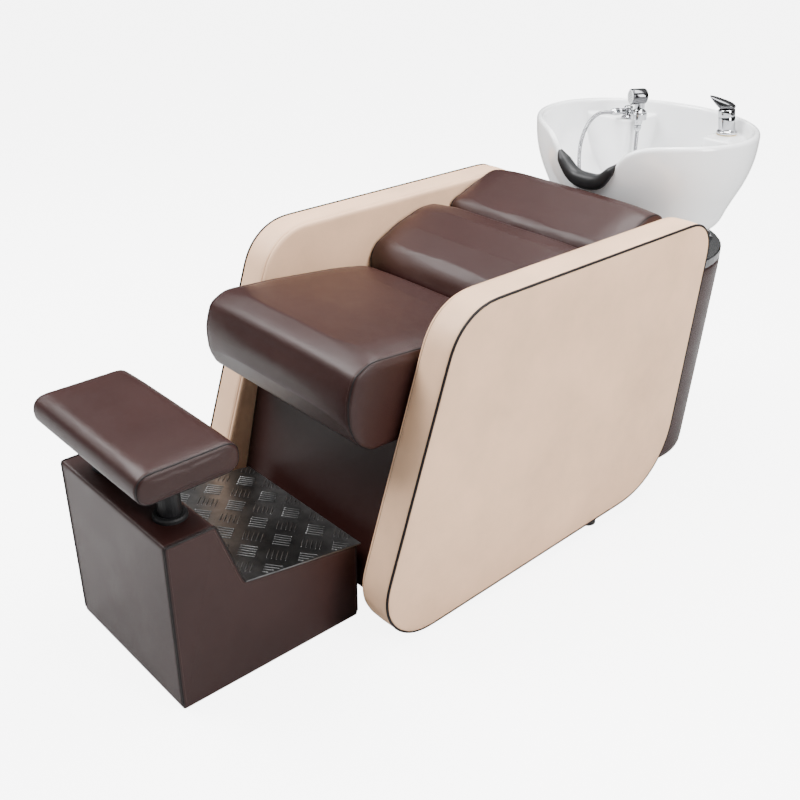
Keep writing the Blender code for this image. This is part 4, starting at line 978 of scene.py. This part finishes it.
def make_neck_rest(looks, steps=48, sides=36):
    """The rubber saddle over the neck cut-out, thick in the middle, drawn out to thin tips."""
    rings = []
    for k in range(-steps, steps + 1):
        x = NECK_REST_REACH * k / steps
        here = sum((lip_centre(x + NECK_EASE * step) for step in (-2, -1, 0, 1, 2)), Vector()) / 5
        along = (lip_centre(x + 1e-4) - lip_centre(x - 1e-4)).normalized()
        out = Vector((x / BOWL_HALF_X**2, (here.y - BOWL_Y) / BOWL_HALF_Y**2, 0)).normalized()
        up = out.cross(along).normalized()
        up = up if up.z > 0 else -up
        full = math.cos(math.pi / 2 * x / NECK_REST_REACH * 0.97) ** 0.7
        tip = min(1.0, (1.0 - abs(x) / NECK_REST_REACH) / 0.22 + 0.10) ** 0.7
        outer, top = (0.013 + 0.011 * full) * tip, (0.005 + 0.022 * full) * tip
        front, back = (0.004 + 0.011 * full) * tip, (0.003 + 0.014 * full) * tip
        lean = 0.20 * up.z
        ring = []
        for s in range(sides):
            angle = math.tau * s / sides
            c, v = math.cos(angle), math.sin(angle)
            d = outer * math.copysign(abs(c) ** 0.75, c)
            below = front if c > 0 else back
            h = top * abs(v) ** 0.8 if v > 0 else -below * abs(v) ** 0.6
            ring.append(here + out * (d + lean * h) + up * h)
        rings.append(ring)
    rest = loft("neck_cushion", rings, looks["rubber"])
    dress(rest, "basin", "rubber", "neck_rest", pad=1.0)


PIVOT = Vector((0.1745, 0.775, 0.590))
STRUT_HEADS = ((0.1790, 0.8140, 0.6480), (0.1850, 0.7900, 0.6480))
STRUT_RADIUS = 0.0032


def make_struts(looks):
    """Two chromed rods on each side, from the tilt axis up to the basin's underside."""
    for side, sign in (("left", -1), ("right", 1)):
        mirror = Matrix.Diagonal((sign, 1, 1))
        for end, head in zip(("rear", "front"), STRUT_HEADS):
            line = evened([mirror @ PIVOT, mirror @ Vector(head)], 0.008, closed=False)
            strut = tube(f"basin_strut_{end}_{side}", line, STRUT_RADIUS, looks["chrome"], 16)
            dress(strut, "basin", "chrome")


GRID_HOLE_RADIUS = 0.0022


def make_drain(looks):
    """A dished chrome grid with a ring of holes."""
    low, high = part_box("drain_grid")
    top = high.z
    plate = turned("waste_grid", (
        (0, low.z), (0.0185, low.z), (0.0185, top - 0.0035), (0.0215, top - 0.0035), (0.0300, top - 0.0034),
        (0.0304, top - 0.0024), (0.0296, top - 0.0008), (0.0280, top), (0.0262, top - 0.0002),
        (0.0244, top - 0.0012), (0.0100, top - 0.0016), (0, top - 0.0016),
    ), looks["chrome"], turn=Matrix.Translation((0, BOWL_Y, 0)))
    for ring_radius, count in ((0.0, 1), (0.0085, 6), (0.0165, 12)):
        for k in range(count):
            angle = math.tau * k / count
            x, y = ring_radius * math.cos(angle), BOWL_Y + ring_radius * math.sin(angle)
            ends = (x, y, top - 0.02), (x, y, top + 0.01)
            combine(plate, drum("hole", GRID_HOLE_RADIUS, *ends, looks["chrome"]))
    plate.data.set_sharp_from_angle(angle=math.radians(32))
    dress(plate, "basin", "chrome", "drain_grid")


# ---- taps ---------------------------------------------------------------------------------------------
DOT_FACES, DOT_HEIGHT, DOT_RADIUS = (0.0158, 0.0145, 0), 0.0075, 0.0034


def make_mixer(looks):
    """Flange, leaning body, swivelling dome and a lever like a curved blade."""
    base = Matrix.Translation(TAP) @ Matrix.Rotation(-TAP_TURN, 4, "Z")
    lean = Matrix.Rotation(TAP_LEAN, 4, "X")
    swivel = base @ Matrix.Translation((0, 0, TAP_FOOT)) @ lean
    rim = FLANGE_RADIUS
    gasket = turned("mixer_seal", (
        (0.0135, 0.0002), (rim - 0.0006, 0.0002), (rim, 0.0006), (rim, 0.0021), (rim - 0.0005, 0.0025),
        (0.0135, 0.0025),
    ), looks["brass"], turn=base)
    dress(gasket, "basin", "brass", "mixer_gasket")

    sides = 72
    rings = []
    for height, radius in (
        (0.0027, rim - 0.0012), (0.0030, rim - 0.0003), (0.0036, rim), (0.0074, rim), (0.0086, rim - 0.0004),
        (0.0098, rim - 0.0014), (0.0107, rim - 0.0028), (0.0114, TAP_RADIUS + 0.0010),
        (0.0124, TAP_RADIUS + 0.0002),
    ):
        rings.append(circle(radius, height, sides, base))
    for height, radius in (
        (0.008, TAP_RADIUS), (0.014, TAP_RADIUS), (0.026, TAP_RADIUS), (TAP_HEIGHT - 0.0010, TAP_RADIUS),
        (TAP_HEIGHT - 0.0003, TAP_RADIUS - 0.0003), (TAP_HEIGHT, TAP_RADIUS - 0.0010),
    ):
        rings.append(circle(radius, height, sides, swivel))
    dress(loft("mixer_barrel", rings, looks["chrome"], 40), "basin", "chrome", "mixer_body")

    low, high = TAP_HEIGHT + 0.0003, TAP_HEIGHT + DOME_HEIGHT
    dome = turned("mixer_collar", (
        (0, low), (TAP_RADIUS - 0.0010, low), (TAP_RADIUS - 0.0003, low + 0.0003), (TAP_RADIUS, low + 0.0010),
        (TAP_RADIUS, high - 0.0022), (TAP_RADIUS - 0.0005, high - 0.0009), (TAP_RADIUS - 0.0016, high),
        (0, high),
    ), looks["chrome"], 72, turn=swivel)
    dress(dome, "mixer_cap", "chrome", "mixer_dome")
    facing = Vector(DOT_FACES).normalized()
    spot = Vector((0, 0, low + DOT_HEIGHT))
    ends = [swivel @ (facing * (TAP_RADIUS + out) + spot) for out in (-0.0012, 0.0003)]
    dot = drum("mixer_indicator", DOT_RADIUS, *ends, looks["black"])
    dress(dot, "mixer_cap", "black_plastic")

    floor = high + 0.0006
    blade = (                          # (y, underside, top, half width) from the heel to the tip
        (0.0228, 0.0042, 0.0060, 0.0070), (0.0216, 0.0026, 0.0085, 0.0120), (0.0185, 0.0012, 0.0116, 0.0155),
        (0.0130, 0.0002, 0.0152, 0.0180), (0.0060, 0.0000, 0.0190, 0.0194), (-0.0020, 0.0000, 0.0228, 0.0198),
        (-0.0100, 0.0000, 0.0264, 0.0194), (-0.0160, 0.0022, 0.0292, 0.0188),
        (-0.0220, 0.0085, 0.0318, 0.0180), (-0.0280, 0.0165, 0.0343, 0.0166),
        (-0.0340, 0.0250, 0.0366, 0.0146), (-0.0385, 0.0318, 0.0381, 0.0116),
        (-0.0404, 0.0355, 0.0384, 0.0076),
    )
    rings = []
    for y, under, top, half in blade:
        ring = []
        for k in range(40):
            angle = math.tau * k / 40
            c, v = math.cos(angle), math.sin(angle)
            x = half * math.copysign(abs(c) ** 0.62, c)
            middle = (under + top) / 2
            arch = 0.0035 * (half / 0.0198) * (1 - (x / half) ** 2)
            z = middle + (top - under) / 2 * math.copysign(abs(v) ** 0.62, v)
            if v > 0:
                z += arch - 0.0035
            ring.append(swivel @ Vector((x, y, floor + max(z, under))))
        rings.append(ring)
    # the blade is chrome; its dark metal colour is a painted dark reflection
    lever = loft("mixer_blade", rings, looks["dark_reflection_chrome"], 55)
    dress(lever, "mixer_lever", "chrome", "mixer_lever")


def toward(start, end):
    return Vector((end[0] - start[0], end[1] - start[1], 0)).normalized()


def aimed(place, direction):
    """A matrix that stands things up along a direction."""
    return Matrix.Translation(place) @ direction.to_track_quat("Z", "Y").to_matrix().to_4x4()


ELBOW_START, NUT_START, NUT_GAP = 0.0128, 0.0303, 0.0003    # out from the upright's axis
ARM_STOP = 0.0170                  # from the cradle's axis


def flared(k):
    """The arm's radius at a point of its line: widest where it meets the upright."""
    return 0.0065 + 0.0016 * math.exp(-k * 0.9)


def make_spray_holder(looks):
    """An upright with a ring for the handset on one side and the hose's outlet on the other."""
    low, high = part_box("spray_base")
    at = Matrix.Translation((SPRAY_BASE.x, SPRAY_BASE.y, low.z))
    tall = high.z - low.z
    base = turned("holder_base", (
        (0, 0), (0.0181, 0), (0.0185, 0.0005), (0.0185, 0.0026), (0.0180, 0.0038), (0.0164, 0.0052),
        (0.0142, 0.0064), (0.0129, 0.0078), (0.0125, 0.0094), (0.0125, tall - 0.0048),
        (0.0122, tall - 0.0030), (0.0112, tall - 0.0012), (0.0094, tall - 0.0002), (0.0060, tall), (0, tall),
    ), looks["chrome"], 64, turn=at)
    dress(base, "basin", "chrome", "spray_base")

    reach = toward(SPRAY_BASE, CRADLE)
    ring = turned("holder_ring", (
        (0.0152, -0.0086), (0.0156, -0.0090), (0.0200, -0.0090), (0.0209, -0.0086), (0.0214, -0.0078),
        (0.0215, -0.0066), (0.0215, 0.0066), (0.0214, 0.0078), (0.0209, 0.0086), (0.0200, 0.0090),
        (0.0156, 0.0090), (0.0152, 0.0086),
    ), looks["chrome"], 64, turn=Matrix.Translation(CRADLE))
    start = Vector((SPRAY_BASE.x, SPRAY_BASE.y, CRADLE.z)) + reach * ELBOW_START
    line = evened([start, CRADLE - reach * ARM_STOP], 0.002, closed=False)
    arm = tube("holder_arm", line, flared, looks["chrome"], 32)
    dress(ring, "basin", "chrome", "spray_cradle")
    dress(arm, "basin", "chrome")

    out = toward(SPRAY_BASE, HOSE_ROUTE[0])
    centre = Vector((SPRAY_BASE.x, SPRAY_BASE.y, HOSE_ROUTE[0][2]))
    span = (Vector(HOSE_ROUTE[0]) - centre).length
    profile = ((0, 0.0), (0.0080, 0.0), (0.0082, 0.0012), (0.0082, 0.0150), (0.0076, 0.0168), (0, 0.0170))
    elbow = turned("outlet_elbow", profile, looks["chrome"], 48, turn=aimed(centre + out * ELBOW_START, out))
    dress(elbow, "basin", "chrome", "hose_elbow")
    profile = knurled(span - NUT_START - NUT_GAP)
    nut = turned("outlet_nut", profile, looks["chrome"], 48, turn=aimed(centre + out * NUT_START, out))
    dress(nut, "basin", "chrome", "hose_nut")


def knurled(length):
    """A hose nut's profile: two turned bands and a cone towards the hose."""
    return (
        (0, 0.0), (0.0088, 0.0), (0.0098, 0.0010), (0.0100, 0.0020), (0.0100, length * 0.34),
        (0.0092, length * 0.38), (0.0092, length * 0.42), (0.0099, length * 0.46), (0.0098, length * 0.60),
        (0.0086, length * 0.80), (0.0072, length), (0, length),
    )


NOZZLE = ((0.0, 0.0010), (0.0010, 0.0009), (0.0013, 0.0005))    # (height, radius)


def make_handset(looks):
    """A short handle in the cradle and a round barrel whose white face looks at the sitter."""
    foot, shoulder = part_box("handset")[0].z, CRADLE.z + 0.0093
    at = Matrix.Translation((CRADLE.x, CRADLE.y, 0))
    handle = turned("spray_handle", (
        (0, foot), (0.0082, foot), (0.0088, foot + 0.0008), (0.0110, foot + 0.0055), (0.0128, foot + 0.0155),
        (0.0135, shoulder), (0.0184, shoulder), (0.0190, shoulder + 0.0007), (0.0190, shoulder + 0.0033),
        (0.0184, shoulder + 0.0042), (0.0160, shoulder + 0.0058), (0.0143, shoulder + 0.0080),
        (0.0136, shoulder + 0.0110), (0.0132, HEAD_Z - 0.0150), (0, HEAD_Z - 0.0150),
    ), looks["chrome"], 64, turn=at)
    facing = Vector((-math.sin(HEAD_TURN), -math.cos(HEAD_TURN), 0))
    aim = aimed((CRADLE.x, CRADLE.y, HEAD_Z), facing)
    radius = HEAD_RADIUS
    # the barrel is chrome; its dark metal colour is a painted dark reflection
    barrel = turned("spray_barrel", (
        (0, -0.0160), (radius - 0.0100, -0.0160), (radius - 0.0048, -0.0150), (radius - 0.0018, -0.0128),
        (radius - 0.0003, -0.0094), (radius, -0.0050), (radius, 0.0225), (radius - 0.0004, 0.0236),
        (radius - 0.0004, 0.0246), (radius, 0.0256), (radius, 0.0274), (radius - 0.0006, 0.0284),
        (radius - 0.0020, 0.0288), (radius - 0.0030, 0.0280), (0, 0.0278),
    ), looks["dark_reflection_chrome"], 72, turn=aim)
    dress(handle, "handset", "chrome", "handset")
    dress(barrel, "handset", "chrome")
    face = turned("spray_face_plate", (
        (0, 0.0279), (0.0180, 0.0279), (0.0182, 0.0296), (0.0176, 0.0303), (0.0140, 0.0308), (0, 0.0310),
    ), looks["white"], 64, turn=aim)
    dress(face, "handset", "white_plastic", "spray_face")
    bm = bmesh.new()
    for ring_radius, count in ((0.0, 1), (0.0045, 6), (0.0090, 12), (0.0135, 18)):
        for k in range(count):
            angle = math.tau * k / count
            spot = Vector((ring_radius * math.cos(angle), ring_radius * math.sin(angle), 0.0305))
            here = aim @ Matrix.Translation(spot)
            skin(bm, [circle(size, height, 10, here) for height, size in NOZZLE])
    dress(put("spray_nozzles", bm, looks["black"]), "handset", "black_plastic")
    nut_low, nut_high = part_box("handset_nut")
    tall = nut_high.z - nut_low.z
    flip = at @ Matrix.Translation((0, 0, nut_high.z)) @ Matrix.Rotation(math.pi, 4, "X")
    coupling = turned("handset_coupling", knurled(tall), looks["chrome"], 48, turn=flip)
    dress(coupling, "handset", "chrome", "handset_nut")


HOSE_RING = 0.0036                 # from one ring of the hose's metal winding to the next
TAIL_LENGTH, TAIL_SHARE = 0.054, 0.86


def wound(points):
    """The radius of a ringed metal hose at each point of a finely divided line."""
    step = (points[1] - points[0]).length
    return lambda k: HOSE_RADIUS - 0.00035 * (1 - math.cos(math.tau * k * step / HOSE_RING))


def make_hose(looks):
    """The shower hose, and the end of it that the handset draws out of the straight stretch below it."""
    path = smooth_route(HOSE_ROUTE, 16)
    fine = evened(path, HOSE_RING / 5, closed=False)
    hose = tube("hose", fine, wound(fine), looks["hose"], 14)
    dress(hose, "basin", "chrome", "shower_hose")
    top = Vector(HOSE_ROUTE[-1])
    tail_line = evened([top - Vector((0, 0, TAIL_LENGTH)), top], HOSE_RING / 5, closed=False)
    tail = tube("hose_tail", tail_line, lambda k: wound(tail_line)(k) * TAIL_SHARE, looks["hose"], 14)
    dress(tail, "handset", "chrome")


# ---- carried-over CAD pieces --------------------------------------------------------------------------
def pair(name):
    return f"{name}_left", f"{name}_right"


def finish_frame(looks):
    kept = {
        "black": (*pair("foot_front"), *pair("foot_rear"), *pair("post_sleeve"), *pair("pivot_bolt")),
        "steel": ("rail_front", "rail_middle", "rail_rear", "rail_lower", *pair("footrest_arm"),
                  *pair("legrest_post"), "legrest_board"),
        "wood": ("seat_board", *pair("seat_batten"), *pair("back_batten")),
        "brown": ("back_board",),
        "tread": ("tread_plate",),
        "cap": ("column_cap",),
        "chrome": ("bracket_lower", "bracket_upper"),
        "brass": ("waste_nut", "mixer_shank", "mixer_nut", "spray_shank", "spray_nut"),
        "white": ("waste_pipe",),
    }
    for look, nodes in kept.items():
        for node in nodes:
            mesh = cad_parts[node].data
            mesh.materials.clear()
            mesh.materials.append(looks[look])


# ---- studio -------------------------------------------------------------------------------------------
CAMERA_PLACE = (1.655, -1.621, 1.512)
CAMERA_TURN, CAMERA_LIFT = math.radians(48.47), math.radians(27.78)
CAMERA_LENS = 47.69
WHITE_LEVEL, SKY_LEVEL, FILL_LEVEL = 6.0, 7.2, 1.0


def make_camera():
    data = bpy.data.cameras.new("camera")
    data.lens = CAMERA_LENS
    data.sensor_width = 36.0
    data.clip_start = 0.01
    camera = bpy.data.objects.new("camera", data)
    bpy.context.collection.objects.link(camera)
    level = math.cos(CAMERA_LIFT)
    back = Vector((math.sin(CAMERA_TURN) * level, -math.cos(CAMERA_TURN) * level, math.sin(CAMERA_LIFT)))
    camera.location = CAMERA_PLACE
    camera.rotation_euler = (-back).to_track_quat("-Z", "Y").to_euler()
    bpy.context.scene.camera = camera


def make_light(name, place, target, size, power):
    data = bpy.data.lights.new(name, "AREA")
    data.shape = "RECTANGLE"
    data.size, data.size_y = size
    data.energy = power
    light = bpy.data.objects.new(name, data)
    bpy.context.collection.objects.link(light)
    light.location = place
    light.rotation_euler = (Vector(target) - Vector(place)).to_track_quat("-Z", "Y").to_euler()


def make_world():
    """Plain white where the camera sees it. What the unit mirrors runs from a bright ceiling to dim walls."""
    world = bpy.data.worlds.new("studio")
    bpy.context.scene.world = world
    world.use_nodes = True
    tree = world.node_tree
    direction = tree.nodes.new("ShaderNodeTexCoord").outputs["Generated"]
    parts = tree.nodes.new("ShaderNodeSeparateXYZ")
    tree.links.new(direction, parts.inputs[0])
    fade = tree.nodes.new("ShaderNodeValToRGB")
    tree.links.new(parts.outputs["Z"], fade.inputs[0])
    stops = ((0.0, 0.03), (0.22, 0.06), (0.36, 0.62), (0.50, 0.22), (0.62, 0.30), (0.80, 1.0))
    while len(fade.color_ramp.elements) < len(stops):
        fade.color_ramp.elements.new(0.5)
    for element, (height, grey) in zip(fade.color_ramp.elements, stops):
        element.position = height
        element.color = (grey, grey, grey, 1.0)
    seen = tree.nodes.new("ShaderNodeLightPath").outputs["Is Camera Ray"]
    plain = tree.nodes.new("ShaderNodeBackground")
    plain.inputs["Strength"].default_value = SKY_LEVEL
    tinted = tree.nodes["Background"]
    tree.links.new(fade.outputs["Color"], tinted.inputs["Color"])
    tinted.inputs["Strength"].default_value = FILL_LEVEL
    both = tree.nodes.new("ShaderNodeMixShader")
    tree.links.new(seen, both.inputs[0])
    tree.links.new(tinted.outputs[0], both.inputs[1])
    tree.links.new(plain.outputs[0], both.inputs[2])
    tree.links.new(both.outputs[0], tree.nodes["World Output"].inputs["Surface"])


def make_studio():
    bm = bmesh.new()
    bmesh.ops.create_grid(bm, x_segments=8, y_segments=8, size=14.0)
    look = Look("studio_floor", Base_Color=(0.55, 0.55, 0.55, 1.0), Roughness=0.9, Specular_IOR_Level=0.05)
    seen = look.node("LightPath").outputs["Is Camera Ray"]
    glow = look.node("Math", {0: seen}, operation="MULTIPLY")
    glow.inputs[1].default_value = WHITE_LEVEL
    look.shader.inputs["Emission Color"].default_value = (1.0, 1.0, 1.0, 1.0)
    look.tree.links.new(glow.outputs[0], look.shader.inputs["Emission Strength"])
    floor = put("floor", bm, look.material)
    floor.location = (0, 0, -0.0006)
    make_world()
    make_light("key", (-1.7, -1.6, 3.2), (0, -0.2, 0.4), (1.8, 1.8), 260)
    make_light("side", (3.0, 0.3, 1.9), (0.2, 0.1, 0.4), (0.9, 1.8), 130)
    make_light("top", (0.2, 0.9, 3.3), (0, 0.3, 0.5), (2.4, 1.2), 170)


def main():
    make_camera()
    looks = make_looks()
    make_hose(looks)
    for side in ("left", "right"):
        make_panel(side, looks)
    make_cushion("seat_pad", "seat_cushion", looks, 0.009, 0.004)
    make_cushion("lumbar_pad", "lumbar_cushion", looks, 0.008, 0.004)
    make_cushion("upper_back_pad", "upper_back_cushion", looks, 0.009, 0.004)
    firm = {"body": "legrest", "fill": 0.9, "proud": 0.004, "edge": 0.010}
    make_cushion("leg_pad", "legrest_pad", looks, 0.003, 0.0015, **firm)
    make_apron(looks)
    make_box_cover(looks)
    make_tread(looks)
    make_column(looks)
    make_bowl(looks)
    make_neck_rest(looks)
    make_drain(looks)
    make_struts(looks)
    make_mixer(looks)
    make_spray_holder(looks)
    make_handset(looks)
    finish_frame(looks)
    make_studio()


main()

bpy.context.view_layer.update()
